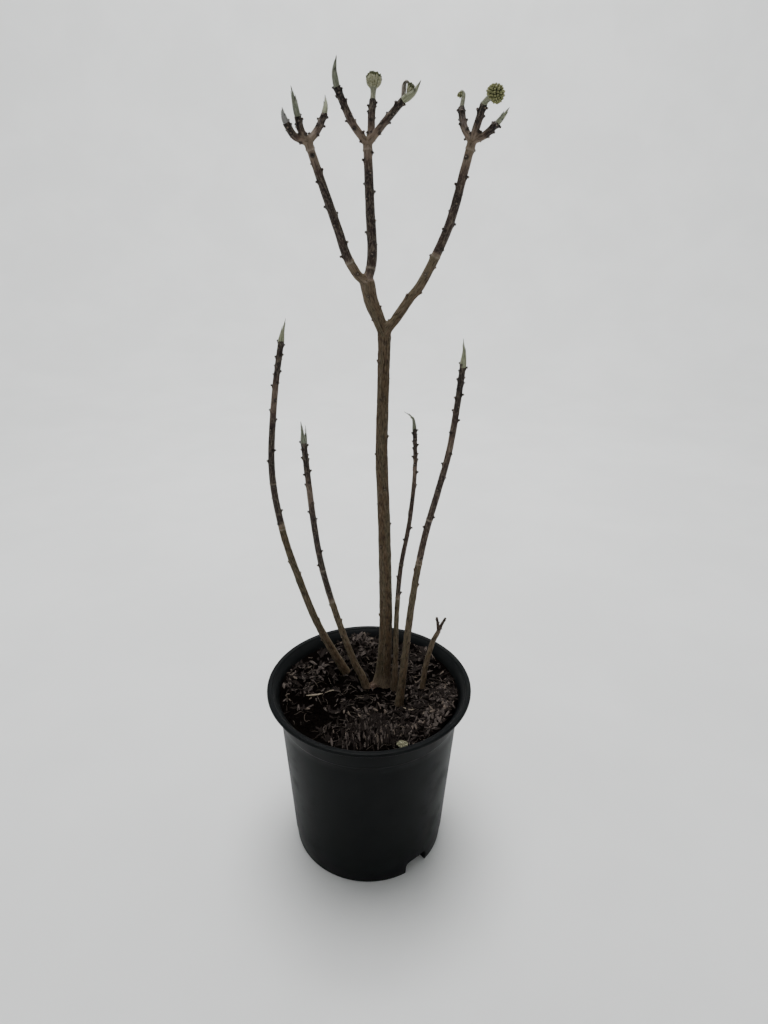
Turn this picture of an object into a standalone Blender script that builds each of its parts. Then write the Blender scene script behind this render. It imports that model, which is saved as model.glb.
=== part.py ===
"""Potted paperbush in winter: a bare forked shrub with tip buds, in a round nursery pot.

Metres, +Z up. The origin lies on the pot's axis, at the level its foot stands on, and the
front is at -Y. Every limb is swept along a smooth route through a few named points, given
in millimetres. Neighbouring solids keep a small clearance.
"""
import math
import random
from bisect import bisect_left

import bmesh
import bpy
from mathutils import Matrix, Vector

MM = 0.001
CLEAR = 0.3                         # between neighbouring solids, in mm like every size below

# Pot
POT_SEGMENTS = 48
POT_HEIGHT = 166.0
RIM_RADIUS = 93.0
LIP_WIDTH = 5.0                     # flat top of the rolled lip
LIP_DEPTH = 3.2
POT_WALL = 1.4
NECK_RADIUS = 83.6                  # outside, just under the lip
NECK_HEIGHT = 158.0
COLLAR_DROP = 24.0                  # stacking step, below the top of the rim
COLLAR_STEP = 0.8
HEEL_RADIUS = 71.8                  # outside, where the wall turns in to the foot
HEEL_HEIGHT = 14.0
FOOT_RADIUS = 70.1
FOOT_WIDTH = 9.0
FLOOR_RISE = 5.0                    # the floor inside the foot stands clear of the ground

# Arched drains through the foot, and round holes in the floor
ARCH_WIDTH = 24.0
ARCH_HEIGHT = 14.5
ARCH_CORNER = 6.0
ARCH_DEPTH = 17.0                   # from the foot's outside towards the axis
ARCH_BEARINGS = (-50.0, 130.0)      # degrees from +X
HOLE_RADIUS = 5.0
HOLE_CIRCLE = 40.0
HOLE_COUNT = 6
HOLE_TURN = 11.0

# Soil
SOIL_LEVEL = 150.0                  # where the stems are cut off flat
SOIL_RINGS = 9
SOIL_CEILING = 161.5
SOIL_EDGE = (152.0, 157.9)          # lowest and highest where it meets the wall
SOIL_EDGE_LIFT = 5.0                # it is higher along the wall
PAD_MARGIN = 7.0                    # level soil left round the foot of each stem
PAD_FADE = 9.0
# Heaps and hollows: x, y, height, spread
SOIL_HEAPS = (
    (3.0, -56.0, 8.0, 24.0),        # bark heaped at the front
    (70.0, -22.0, 9.0, 26.0),       # and at the right
    (-11.0, 71.0, 10.0, 15.0),      # a mound against the back
    (50.0, 62.0, 5.0, 20.0),
    (-74.0, 12.0, 4.0, 20.0),
    (-52.0, -18.0, -4.0, 20.0),     # fine dark compost at the left
)

# Limbs: how far a fork's arms reach past it before the next limb starts
ARM = 13.0
HEAD_STEM = 5.0
STATION_STEP = 15.0
SCAR_HALF = 1.7                     # half the length of a leaf scar along the limb
GOLDEN_ANGLE = math.radians(137.5)
ROOT_LOBES = 3
LOBE_DEPTH = 0.14                   # as a share of the foot's radius

FORK = (10.4, 13.0, 481.0)
UPPER_FORK = (-3.4, 14.0, 521.0)
HEAD_LEFT = (-42.8, -14.0, 614.0)
HEAD_MIDDLE = (-3.9, 40.0, 617.5)
HEAD_RIGHT = (68.5, -8.0, 615.9)

TRUNK_ROUTE = ((12.0, 18.5, SOIL_LEVEL), (14.6, 16.5, 206.0), (13.6, 15.8, 264.0),
               (11.6, 15.0, 326.0), (9.2, 14.5, 380.0), (9.8, 13.6, 440.0), FORK)
LEADER_ROUTE = (FORK, (7.2, 13.3, 489.0), (3.6, 13.5, 497.6), (-0.4, 13.7, 507.0), UPPER_FORK)
BOUGH_LEFT_ROUTE = (UPPER_FORK, (-10.5, 12.0, 525.6), (-18.5, 7.0, 540.1),
                    (-23.9, 2.5, 557.0), (-31.5, -4.0, 579.6), HEAD_LEFT)
BOUGH_MIDDLE_ROUTE = (UPPER_FORK, (-0.6, 17.0, 530.5), (0.4, 20.0, 544.0),
                      (-1.4, 26.5, 570.0), HEAD_MIDDLE)
BOUGH_RIGHT_ROUTE = (FORK, (14.2, 12.7, 486.9), (21.0, 12.0, 496.2), (29.2, 10.0, 508.8),
                     (39.2, 6.7, 523.0), (55.6, 0.8, 560.6), (64.5, -5.0, 597.5), HEAD_RIGHT)

# Radii: at the foot and the top of each limb, with flares where it meets the soil or a fork
TRUNK_RADII = (6.1, 4.4)
TRUNK_FLARE = 3.0
TRUNK_FLARE_REACH = 13.0
CROTCH_SWELL = 1.1
CROTCH_REACH = 14.0
LEADER_RADII = (4.5, 5.8)
LEFT_RADII = (3.5, 2.6)
MIDDLE_RADII = (3.8, 3.1)
RIGHT_RADII = (3.7, 2.8)
TRUNK_SCARS = (34.0, 20.0)          # spacing at the foot and at the top
BOUGH_SCARS = (14.0, 7.0)

# Suckers from the root: route, radius low down and below the bud, scar spacing at each end
SUCKERS = {
    "stem_outer_left": (
        ((-23.0, 35.0, SOIL_LEVEL), (-32.5, 31.0, 171.5), (-50.4, 29.2, 211.6),
         (-65.8, 27.8, 259.5), (-77.7, 26.3, 306.1), (-84.4, 24.7, 362.0),
         (-79.5, 22.5, 423.4), (-71.6, 20.7, 472.3), (-67.1, 20.0, 491.6)),
        3.5, 2.3, 24.0, 4.6),
    "stem_inner_left": (
        ((-2.5, 12.0, SOIL_LEVEL), (-7.9, 11.8, 165.3), (-15.0, 10.8, 182.0),
         (-29.7, 7.6, 231.1), (-41.1, 4.3, 279.6), (-47.4, 0.9, 326.7),
         (-52.9, -4.3, 394.9), (-54.6, -6.0, 415.7)),
        2.9, 2.3, 22.0, 4.8),
    "stem_thin_right": (
        ((23.0, 8.5, SOIL_LEVEL), (24.0, 10.5, 185.0), (24.2, 12.9, 223.7),
         (26.7, 15.9, 272.2), (33.7, 18.9, 317.6), (37.5, 22.0, 364.0),
         (36.0, 24.9, 404.4), (33.0, 25.5, 411.6), (27.5, 26.0, 415.6)),
        2.3, 1.6, 22.0, 6.0),
    "stem_outer_right": (
        ((27.4, -12.3, SOIL_LEVEL), (29.8, -11.0, 176.0), (34.1, -13.0, 233.2),
         (38.8, -14.7, 279.5), (45.5, -16.5, 323.2), (54.7, -18.2, 364.1),
         (62.5, -20.0, 402.8), (68.5, -23.0, 465.4), (67.8, -24.0, 484.7)),
        3.1, 2.2, 24.0, 4.8),
}
STUB_ROUTE = ((49.5, 10.9, SOIL_LEVEL), (52.5, 16.0, 172.0), (58.0, 19.0, 195.0),
              (63.5, 20.0, 207.9))
STUB_PRONGS = (((63.5, 20.0, 207.9), (62.6, 21.0, 215.0), (61.4, 21.8, 221.6)),
               ((63.5, 20.0, 207.9), (66.0, 18.0, 216.5), (69.0, 16.0, 224.4)))
SECOND_TIP = ((-52.0, -3.2, 392.0), (-51.4, -1.8, 402.0), (-51.8, -0.4, 411.0))

SUCKER_FLARE = 1.0                  # extra radius at the soil, and how far up it fades
SUCKER_FLARE_REACH = 20.0
STUB_RADII = (2.5, 2.0)
STUB_SCARS = (16.0, 12.0)
PRONG_RADII = (1.7, 0.9)
SECOND_TIP_RADIUS = 1.5

BUD_LENGTH = 20.0
BUD_RADIUS = 2.0
# How a bud swells and tapers: share of its length, share of its radius
BUD_SHAPE = ((0.0, 0.85), (0.14, 1.0), (0.34, 0.92), (0.6, 0.6), (0.8, 0.3), (1.0, 0.08))

# Twigs of each head: its fork, its stem's radius, then each twig's route on from the fork
# and what its end carries: kind, tip or middle, radius
TWIG_FOOT = 2.5
TWIG_TIP = 2.0
TWIG_SCARS = 5.0
STALK_RADIUS = 2.1
HEADS = {
    "twigs_left": (HEAD_LEFT, 2.9, (
        (((-47.0, -15.5, 615.2), (-52.2, -18.4, 618.0), (-55.9, -21.5, 623.6)),
         ("bud", (-57.9, -26.0, 633.5), 2.0)),
        (((-45.2, -14.6, 617.5), (-47.3, -15.9, 621.5), (-48.9, -18.2, 630.0)),
         ("bud", (-52.3, -22.0, 646.5), 2.1), ("bud", (-50.1, -14.0, 643.5), 1.3)),
        (((-40.6, -12.4, 616.5), (-36.4, -8.3, 622.5), (-32.6, -3.0, 631.7)),
         ("bud", (-32.0, 3.8, 645.0), 1.6)))),
    "twigs_middle": (HEAD_MIDDLE, 3.2, (
        (((-8.0, 38.3, 622.1), (-15.9, 34.7, 632.6), (-24.8, 28.5, 651.4)),
         ("bud", (-25.5, 22.0, 672.4), 1.9)),
        (((-1.6, 42.3, 623.8), (-1.1, 47.0, 637.1), (-0.3, 50.9, 648.4)),
         ("flower", (0.2, 56.0, 662.8), 6.1)),
        (((1.0, 38.6, 623.0), (9.7, 35.7, 632.9), (20.9, 32.2, 644.0)),
         ("bud", (34.3, 28.0, 658.2), 2.4), ("bud", (24.3, 33.5, 656.0), 2.0)))),
    "twigs_right": (HEAD_RIGHT, 3.0, (
        (((67.0, -6.0, 618.5), (63.2, -0.8, 626.1), (61.9, 4.6, 634.7)),
         ("flower", (61.1, 12.0, 646.9), 3.4)),
        (((69.4, -9.8, 619.6), (71.2, -14.2, 627.2), (73.3, -19.3, 636.2)),
         ("flower", (80.1, -26.0, 642.5), 6.2)),
        (((71.9, -9.6, 617.6), (76.9, -12.1, 619.9), (83.1, -15.8, 625.1)),
         ("bud", (90.6, -21.5, 635.4), 2.1), ("bud", (87.4, -14.5, 634.0), 1.3)))),
}
FLORET_OUT = 0.22                   # how far a floret stands out, as a share of the head's radius

COLOURS = {
    "pot": ((0.018, 0.020, 0.022), 0.38),
    "soil": ((0.055, 0.042, 0.034), 0.95),
    "old_wood": ((0.27, 0.20, 0.12), 0.70),
    "young_wood": ((0.11, 0.065, 0.048), 0.62),
    "twigs": ((0.20, 0.17, 0.12), 0.65),
}


def clear_scene():
    for item in list(bpy.data.objects):
        bpy.data.objects.remove(item)


def make_materials():
    made = {}
    for name, (colour, roughness) in COLOURS.items():
        material = bpy.data.materials.new(name)
        material.use_nodes = True
        shader = material.node_tree.nodes["Principled BSDF"]
        shader.inputs["Base Color"].default_value = (*colour, 1.0)
        shader.inputs["Roughness"].default_value = roughness
        shader.inputs["Metallic"].default_value = 0.0
        made[name] = material
    return made


def new_object(name, bm, material=None, angle=50.0):
    """Turn a bmesh in millimetres into a named object in metres, shaded smooth."""
    bmesh.ops.recalc_face_normals(bm, faces=bm.faces)
    bmesh.ops.scale(bm, vec=(MM, MM, MM), verts=bm.verts)
    mesh = bpy.data.meshes.new(name)
    bm.to_mesh(mesh)
    bm.free()
    mesh.shade_smooth()
    mesh.set_sharp_from_angle(angle=math.radians(angle))
    if material:
        mesh.materials.append(material)
    item = bpy.data.objects.new(name, mesh)
    bpy.context.scene.collection.objects.link(item)
    return item


def new_cutter(name, bm):
    cutter = new_object(name, bm)
    cutter.hide_render = True
    cutter.display_type = "WIRE"
    return cutter


def add_boolean(target, tool, operation="DIFFERENCE"):
    modifier = target.modifiers.new(tool.name, "BOOLEAN")
    modifier.operation = operation
    modifier.object = tool


def turned(profile):
    """Turn a profile of (radius, height) points, from the axis to the axis, into a body."""
    bm = bmesh.new()
    points = [bm.verts.new((radius, 0.0, height)) for radius, height in profile]
    edges = [bm.edges.new(pair) for pair in zip(points, points[1:])]
    bmesh.ops.spin(bm, geom=points + edges, cent=(0, 0, 0), axis=(0, 0, 1),
                   angle=math.tau, steps=POT_SEGMENTS, use_merge=True)
    bmesh.ops.remove_doubles(bm, verts=bm.verts, dist=0.001)
    return bm


def neck_slope():
    return (NECK_RADIUS - HEEL_RADIUS - COLLAR_STEP) / (NECK_HEIGHT - HEEL_HEIGHT)


def outer_profile():
    top = POT_HEIGHT
    collar = top - COLLAR_DROP
    below = HEEL_RADIUS + neck_slope() * (collar - HEEL_HEIGHT)
    return ((0.0, FLOOR_RISE), (FOOT_RADIUS - FOOT_WIDTH - 1.0, FLOOR_RISE),
            (FOOT_RADIUS - FOOT_WIDTH, 0.0), (FOOT_RADIUS, 0.0),
            (HEEL_RADIUS, HEEL_HEIGHT), (below, collar - 0.5),
            (below + COLLAR_STEP, collar + 0.5), (NECK_RADIUS, NECK_HEIGHT),
            (NECK_RADIUS + 3.4, top - LIP_DEPTH - 0.4), (RIM_RADIUS - 0.9, top - LIP_DEPTH),
            (RIM_RADIUS, top - LIP_DEPTH + 0.9), (RIM_RADIUS, top - 0.9),
            (RIM_RADIUS - 0.9, top), (0.0, top))


def inner_profile(clear=0.0, top=POT_HEIGHT + 1.0):
    """Inside of the wall from the floor's middle up; clear draws it in by that much."""
    inside = POT_WALL + clear
    collar = POT_HEIGHT - COLLAR_DROP
    below = HEEL_RADIUS + neck_slope() * (collar - HEEL_HEIGHT)
    mouth = RIM_RADIUS - LIP_WIDTH - clear
    return ((0.0, FLOOR_RISE + inside), (FOOT_RADIUS - inside + 0.7, FLOOR_RISE + inside),
            (HEEL_RADIUS - inside, HEEL_HEIGHT), (below - inside, collar - 0.5),
            (below + COLLAR_STEP - inside, collar + 0.5), (NECK_RADIUS - inside, NECK_HEIGHT),
            (mouth - 1.8, POT_HEIGHT - 2.2), (mouth, POT_HEIGHT - 0.9),
            (mouth + 1.2, POT_HEIGHT), (mouth + 1.2, top), (0.0, top))


def inner_radius(height, clear):
    """Radius of the space inside the wall at a height above the floor."""
    profile = inner_profile(clear)[1:-2]
    for (low_r, low_z), (high_r, high_z) in zip(profile, profile[1:]):
        if low_z <= height <= high_z:
            return low_r + (high_r - low_r) * (height - low_z) / (high_z - low_z)
    raise ValueError("height lies outside the wall")


def arch_body(bearing, grow, reach):
    """Round-cornered block on the ground, from inside the foot out to reach."""
    half = ARCH_WIDTH / 2 + grow
    top = ARCH_HEIGHT + grow
    corner = ARCH_CORNER + grow
    start = FOOT_RADIUS - ARCH_DEPTH - grow
    outline = [(-half, -1.0), (half, -1.0)]
    for side in (1, -1):
        for step in range(5):
            turn = math.radians(90 * step / 4)
            if side < 0:
                turn = math.radians(90) - turn
            outline.append((side * (half - corner + corner * math.cos(turn)),
                            top - corner + corner * math.sin(turn)))
    bm = bmesh.new()
    face = bm.faces.new([bm.verts.new((start, along, height)) for along, height in outline])
    grown = bmesh.ops.extrude_face_region(bm, geom=[face])["geom"]
    moved = [item for item in grown if isinstance(item, bmesh.types.BMVert)]
    bmesh.ops.translate(bm, vec=(reach - start, 0, 0), verts=moved)
    bmesh.ops.rotate(bm, cent=(0, 0, 0), matrix=Matrix.Rotation(math.radians(bearing), 3, "Z"),
                     verts=bm.verts)
    return bm


def hole_body(bearing):
    bm = bmesh.new()
    ends = bmesh.ops.create_cone(bm, cap_ends=True, segments=12, radius1=HOLE_RADIUS,
                                 radius2=HOLE_RADIUS, depth=4 * FLOOR_RISE)["verts"]
    spot = Matrix.Rotation(math.radians(bearing), 4, "Z") @ Matrix.Translation(
        (HOLE_CIRCLE, 0, FLOOR_RISE))
    bmesh.ops.transform(bm, matrix=spot, verts=ends)
    return bm


def build_pot(material):
    """A thin tapered pot: the turned outside less the space inside, drained at the foot."""
    pot = new_object("pot", turned(outer_profile()), material, angle=30.0)
    cavity = new_cutter("cutter_inside", turned(inner_profile()))
    for number, bearing in enumerate(ARCH_BEARINGS):
        housing = new_cutter(f"cutter_housing_{number}",
                             arch_body(bearing, POT_WALL, RIM_RADIUS))
        add_boolean(cavity, housing)
    add_boolean(pot, cavity)
    for number, bearing in enumerate(ARCH_BEARINGS):
        arch = new_cutter(f"cutter_arch_{number}", arch_body(bearing, 0.0, RIM_RADIUS))
        add_boolean(pot, arch)
    for number in range(HOLE_COUNT):
        bearing = 360.0 * number / HOLE_COUNT + HOLE_TURN
        add_boolean(pot, new_cutter(f"cutter_hole_{number}", hole_body(bearing)))


def stem_feet():
    """Centre and radius of every stem at the soil."""
    feet = [(TRUNK_ROUTE[0], (TRUNK_RADII[0] + TRUNK_FLARE) * 1.2), (STUB_ROUTE[0], STUB_RADII[0])]
    feet += [(route[0], foot + SUCKER_FLARE) for route, foot, _, _, _ in SUCKERS.values()]
    return feet


def soil_height(x, y):
    """Height of the soil: heaps and ripples, level round the foot of each stem."""
    level = SOIL_LEVEL - CLEAR
    edge = math.hypot(x, y) / inner_radius(SOIL_LEVEL, CLEAR)
    height = level + 0.5 + SOIL_EDGE_LIFT * edge ** 4
    for heap_x, heap_y, lift, spread in SOIL_HEAPS:
        height += lift * math.exp(-((x - heap_x) ** 2 + (y - heap_y) ** 2) / spread ** 2)
    height += 0.8 * math.sin(0.31 * x + 0.6) * math.cos(0.27 * y) + 0.6 * math.sin(0.2 * x * y / 40)
    for (foot_x, foot_y, _), radius in stem_feet():
        away = math.hypot(x - foot_x, y - foot_y) - radius - PAD_MARGIN
        share = min(max(away / PAD_FADE, 0.0), 1.0)
        height = level + (height - level) * share * share * (3 - 2 * share)
    return min(height, SOIL_CEILING)


def build_soil(material):
    """Fill of the pot, 0.3 mm inside its wall, with an uneven top."""
    lowest, highest = SOIL_EDGE
    top = lowest
    side = [point for point in inner_profile(CLEAR) if point[1] < top]
    rim = inner_radius(top, CLEAR)
    across = [(rim * (1 - ring / SOIL_RINGS), top) for ring in range(SOIL_RINGS + 1)]
    bm = turned(side + across)
    for vert in bm.verts:
        if vert.co.z > top - 0.01:
            radius = math.hypot(vert.co.x, vert.co.y)
            vert.co.z = soil_height(vert.co.x, vert.co.y)
            if radius > rim - 0.01:
                vert.co.z = min(max(vert.co.z, lowest), highest)
                scale = inner_radius(vert.co.z, CLEAR) / radius
                vert.co.x *= scale
                vert.co.y *= scale
    soil = new_object("soil", bm, material, angle=60.0)
    for number, bearing in enumerate(ARCH_BEARINGS):
        add_boolean(soil, new_cutter(f"cutter_soil_arch_{number}",
                                     arch_body(bearing, POT_WALL + CLEAR, RIM_RADIUS)))


class Route:
    """Smooth curve through a few points, measured by the distance along it."""

    FINE = 24

    def __init__(self, points):
        points = [Vector(point) for point in points]
        before = points[0] * 2 - points[1]
        after = points[-1] * 2 - points[-2]
        padded = [before] + points + [after]
        self.places = [points[0]]
        for a, b, c, d in zip(padded, padded[1:], padded[2:], padded[3:]):
            for step in range(1, self.FINE + 1):
                t = step / self.FINE
                self.places.append(0.5 * (2 * b + (c - a) * t + (2 * a - 5 * b + 4 * c - d) * t ** 2
                                          + (3 * b - a - 3 * c + d) * t ** 3))
        self.marks = [0.0]
        for one, two in zip(self.places, self.places[1:]):
            self.marks.append(self.marks[-1] + (two - one).length)
        self.length = self.marks[-1]

    def at(self, distance):
        number = min(max(bisect_left(self.marks, distance), 1), len(self.marks) - 1)
        low, high = self.marks[number - 1], self.marks[number]
        return self.places[number - 1].lerp(self.places[number], (distance - low) / (high - low))

    def along(self, distance, reach=1.5):
        """Direction of the curve, averaged over a short stretch."""
        ahead = self.at(min(distance + reach, self.length))
        behind = self.at(max(distance - reach, 0.0))
        return (ahead - behind).normalized()


def frame_at(route, distance, radius, upright=False):
    """Matrix that carries a unit ring to its place, square to the route."""
    tangent = Vector((0, 0, 1)) if upright else route.along(distance)
    side = (Vector((0, 1, 0)) - tangent * tangent.y).normalized()
    frame = Matrix((side, tangent.cross(side), tangent)).transposed().to_4x4()
    return Matrix.Translation(route.at(distance)) @ frame @ Matrix.Scale(radius, 4)


def leaf_scars(name, start, end, gap_low, gap_high):
    """Distance along a limb, turn round it and height of each scar, closer towards the tip."""
    rng = random.Random(name)
    scars = []
    distance = start + gap_low * 0.6
    turn = rng.uniform(0, math.tau)
    while distance < end:
        left = 1.0 - (distance - start) / (end - start)
        scars.append((distance, turn, rng.uniform(1.2, 1.8)))
        distance += (gap_high + (gap_low - gap_high) * left ** 1.5) * rng.uniform(0.85, 1.15)
        turn += GOLDEN_ANGLE
    return scars


def limb_body(route, radius_at, start, end, sides, scars=(), level_foot=False, lobes=0.0):
    """Sweep a ring along a route from start to end; each scar pulls one corner outwards."""
    marks = {start, end}
    marks.update(start + STATION_STEP * step
                 for step in range(1, int((end - start) / STATION_STEP)))
    scars = [scar for scar in scars if start + 3 * SCAR_HALF < scar[0] < end - 3 * SCAR_HALF]
    for distance, _, _ in scars:
        marks = {mark for mark in marks
                 if abs(mark - distance) > 2 * SCAR_HALF or mark in (start, end)}
        marks.update((distance - SCAR_HALF, distance, distance + SCAR_HALF))
    marks.update(mark for mark in getattr(radius_at, "marks", ()) if start < mark < end)
    marks = sorted(marks)
    frames = [frame_at(route, mark, radius_at(mark), level_foot and mark == start)
              for mark in marks]
    bm = bmesh.new()
    ring = bmesh.ops.create_circle(bm, cap_ends=True, radius=1.0, segments=sides)["verts"]
    bmesh.ops.transform(bm, matrix=frames[0], verts=ring)
    rim = list(bm.edges)
    bumps = []
    for vert in ring:
        if lobes:
            local = frames[0].inverted() @ vert.co
            swell = lobes * math.cos(ROOT_LOBES * math.atan2(local.y, local.x) + 0.6)
            bumps.append((vert, (vert.co - frames[0].translation) * swell))
    for number in range(1, len(frames)):
        grown = bmesh.ops.extrude_edge_only(bm, edges=rim)["geom"]
        ring = [item for item in grown if isinstance(item, bmesh.types.BMVert)]
        rim = [item for item in grown if isinstance(item, bmesh.types.BMEdge)
               and all(vert in ring for vert in item.verts)]
        bmesh.ops.transform(bm, matrix=frames[number] @ frames[number - 1].inverted(), verts=ring)
        for distance, turn, height in scars:
            if distance == marks[number]:
                spot = frames[number] @ Vector((math.cos(turn), math.sin(turn), 0))
                vert = min(ring, key=lambda item: (item.co - spot).length)
                outward = (vert.co - frames[number].translation).normalized()
                bumps.append((vert, outward * height))
    bmesh.ops.holes_fill(bm, edges=rim)
    for vert, offset in bumps:
        vert.co += offset
    bmesh.ops.recalc_face_normals(bm, faces=bm.faces)
    return bm


def fuse(name, bodies, material):
    """Join overlapping closed bodies into one solid by a single Boolean union."""
    base = new_object(name, bodies[0], material)
    group = bpy.data.collections.new(name + "_operands")
    bpy.context.scene.collection.children.link(group)
    for number, body in enumerate(bodies[1:]):
        operand = new_object(f"{name}_operand_{number}", body)
        bpy.context.scene.collection.objects.unlink(operand)
        group.objects.link(operand)
    union = base.modifiers.new("union", "BOOLEAN")
    union.operation = "UNION"
    union.operand_type = "COLLECTION"
    union.collection = group
    view = bpy.context.evaluated_depsgraph_get()
    joined = bpy.data.meshes.new_from_object(base.evaluated_get(view))
    base.modifiers.clear()
    base.data = joined
    for operand in list(group.objects):
        bpy.data.objects.remove(operand)
    bpy.data.collections.remove(group)
    bm = bmesh.new()
    bm.from_mesh(joined)
    bmesh.ops.remove_doubles(bm, verts=bm.verts, dist=0.02 * MM)
    bm.to_mesh(joined)
    bm.free()
    joined.materials.clear()
    joined.materials.append(material)
    return base


def taper(length, foot, tip):
    """Radius that changes evenly along a limb."""
    def radius(distance):
        return foot + (tip - foot) * min(distance / length, 1.0)
    return radius


def trunk_radius(length):
    """Radius of the trunk: tapered, flared at the soil and swollen under the fork."""
    plain = taper(length, *TRUNK_RADII)

    def radius(distance):
        return (plain(distance) + TRUNK_FLARE * math.exp(-distance / TRUNK_FLARE_REACH)
                + CROTCH_SWELL * math.exp((distance - length) / CROTCH_REACH))
    radius.marks = [TRUNK_FLARE_REACH * share for share in (0.35, 0.8, 1.5, 2.6)]
    return radius


def tipped(length, bud_length, foot, tip, bud):
    """Radius of a shoot that ends in a pointed bud."""
    shoot = length - bud_length
    marks = [shoot + bud_length * share for share, _ in BUD_SHAPE]

    def radius(distance):
        if distance < shoot - 0.01:
            swell = SUCKER_FLARE * math.exp(-distance / SUCKER_FLARE_REACH)
            return foot + (tip - foot) * distance / shoot + swell
        share = min((distance - shoot) / bud_length, 1.0)
        for (low, low_r), (high, high_r) in zip(BUD_SHAPE, BUD_SHAPE[1:]):
            if share <= high + 1e-6:
                return bud * (low_r + (high_r - low_r) * (share - low) / (high - low))
        return bud * BUD_SHAPE[-1][1]
    radius.marks = [shoot - 0.6] + marks
    return radius


def bud_body(start, tip, radius, sides=6):
    """A pointed bud from a little inside its twig to its tip."""
    span = (Vector(tip) - Vector(start)).length
    middle = Vector(start).lerp(Vector(tip), 0.5) + Vector((0, 0, 0.06 * span))
    route = Route((start, middle, tip))
    shape = tipped(route.length, route.length, radius, radius, radius)
    return limb_body(route, shape, 0.0, route.length, sides)


def flower_body(centre, radius):
    """A knob of closed florets: every face of a small ball is drawn out to a point."""
    bm = bmesh.new()
    bmesh.ops.create_icosphere(bm, subdivisions=2, radius=radius * (1 - FLORET_OUT))
    bmesh.ops.poke(bm, faces=bm.faces, offset=radius * FLORET_OUT)
    bmesh.ops.translate(bm, vec=centre, verts=bm.verts)
    return bm


def fork_arm(route, radius, reach=ARM):
    """Short start of a limb, left on the limb it springs from."""
    return limb_body(route, taper(reach, radius, radius), 0.0, reach, 8)


def build_trunk(leader, bough_right, material):
    route = Route(TRUNK_ROUTE)
    scars = leaf_scars("trunk", 40.0, route.length - 20.0, *TRUNK_SCARS)
    body = limb_body(route, trunk_radius(route.length), 0.0, route.length, 12, scars,
                     level_foot=True, lobes=LOBE_DEPTH)
    arms = [fork_arm(leader, LEADER_RADII[0]), fork_arm(bough_right, RIGHT_RADII[0])]
    fuse("trunk", [body] + arms, material)


def build_leader(leader, bough_left, bough_middle, material):
    radius = taper(leader.length, *LEADER_RADII)
    body = limb_body(leader, radius, ARM + CLEAR, leader.length, 8)
    arms = [fork_arm(bough_left, LEFT_RADII[0]), fork_arm(bough_middle, MIDDLE_RADII[0])]
    fuse("leader_left", [body] + arms, material)


def build_bough(name, route, radii, material):
    start = ARM + CLEAR
    end = route.length - HEAD_STEM
    scars = leaf_scars(name, start, end, *BOUGH_SCARS)
    body = limb_body(route, taper(route.length, *radii), start, end, 8, scars)
    new_object(name, body, material)


def build_head(name, bough, material):
    """A head of three twigs on the end of a bough, with their buds and flower heads."""
    fork, tip, twigs = HEADS[name]
    stem_start = bough.length - HEAD_STEM + CLEAR
    bodies = [limb_body(bough, taper(bough.length, tip, tip), stem_start, bough.length, 8)]
    for number, (points, *ends) in enumerate(twigs):
        route = Route((fork,) + points)
        scars = leaf_scars(f"{name}_{number}", 3.0, route.length, TWIG_SCARS, TWIG_SCARS)
        radius = taper(route.length, TWIG_FOOT, TWIG_TIP)
        bodies.append(limb_body(route, radius, 0.0, route.length, 6, scars))
        root = route.at(route.length - 2.0)
        for kind, place, size in ends:
            if kind == "bud":
                bodies.append(bud_body(root, place, size))
            else:
                stalk = Route((root, (root + Vector(place)) / 2 + Vector((0, 0, 1.0)), place))
                bodies.append(limb_body(stalk, taper(stalk.length, STALK_RADIUS, STALK_RADIUS),
                                        0.0, stalk.length, 6))
                bodies.append(flower_body(place, size))
    fuse(name, bodies, material)


def build_suckers(materials):
    for name, (points, foot, tip, gap_low, gap_high) in SUCKERS.items():
        route = Route(points)
        radius = tipped(route.length, BUD_LENGTH, foot, tip, min(BUD_RADIUS, tip))
        scars = leaf_scars(name, 12.0, route.length - BUD_LENGTH, gap_low, gap_high)
        body = limb_body(route, radius, 0.0, route.length, 7, scars, level_foot=True)
        if name == "stem_inner_left":
            second = Route(SECOND_TIP)
            size = SECOND_TIP_RADIUS
            shape = tipped(second.length, second.length, size, size, size)
            fuse(name, [body, limb_body(second, shape, 0.0, second.length, 6)],
                 materials["young_wood"])
        else:
            new_object(name, body, materials["young_wood"])


def build_stub(material):
    """A short cut-back stem that ends in two small prongs."""
    stub = Route(STUB_ROUTE)
    scars = leaf_scars("stem_stub", 14.0, stub.length, *STUB_SCARS)
    bodies = [limb_body(stub, taper(stub.length, *STUB_RADII), 0.0, stub.length, 7, scars,
                        level_foot=True)]
    for points in STUB_PRONGS:
        prong = Route(points)
        bodies.append(limb_body(prong, taper(prong.length, *PRONG_RADII), 0.0, prong.length, 6))
    fuse("stem_stub", bodies, material)


def build():
    clear_scene()
    materials = make_materials()
    build_pot(materials["pot"])
    build_soil(materials["soil"])
    leader = Route(LEADER_ROUTE)
    left, middle, right = (Route(points) for points in
                           (BOUGH_LEFT_ROUTE, BOUGH_MIDDLE_ROUTE, BOUGH_RIGHT_ROUTE))
    build_trunk(leader, right, materials["old_wood"])
    build_leader(leader, left, middle, materials["old_wood"])
    build_bough("bough_left", left, LEFT_RADII, materials["young_wood"])
    build_bough("bough_middle", middle, MIDDLE_RADII, materials["young_wood"])
    build_bough("bough_right", right, RIGHT_RADII, materials["young_wood"])
    build_head("twigs_left", left, materials["twigs"])
    build_head("twigs_middle", middle, materials["twigs"])
    build_head("twigs_right", right, materials["twigs"])
    build_suckers(materials)
    build_stub(materials["young_wood"])


build()
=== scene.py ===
"""Looks of the potted paperbush: a fine pot, bark compost, scarred stems, silky buds, flower heads.

Lengths are millimetres until a mesh is finished, which scales it to metres. The limbs follow the
same routes and forks as the part's source, and carry finer scars, bud leaves and florets.
"""
import math
import random
from bisect import bisect_left

import bmesh
import bpy
from mathutils import Matrix, Vector, noise
from mathutils.kdtree import KDTree


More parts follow.
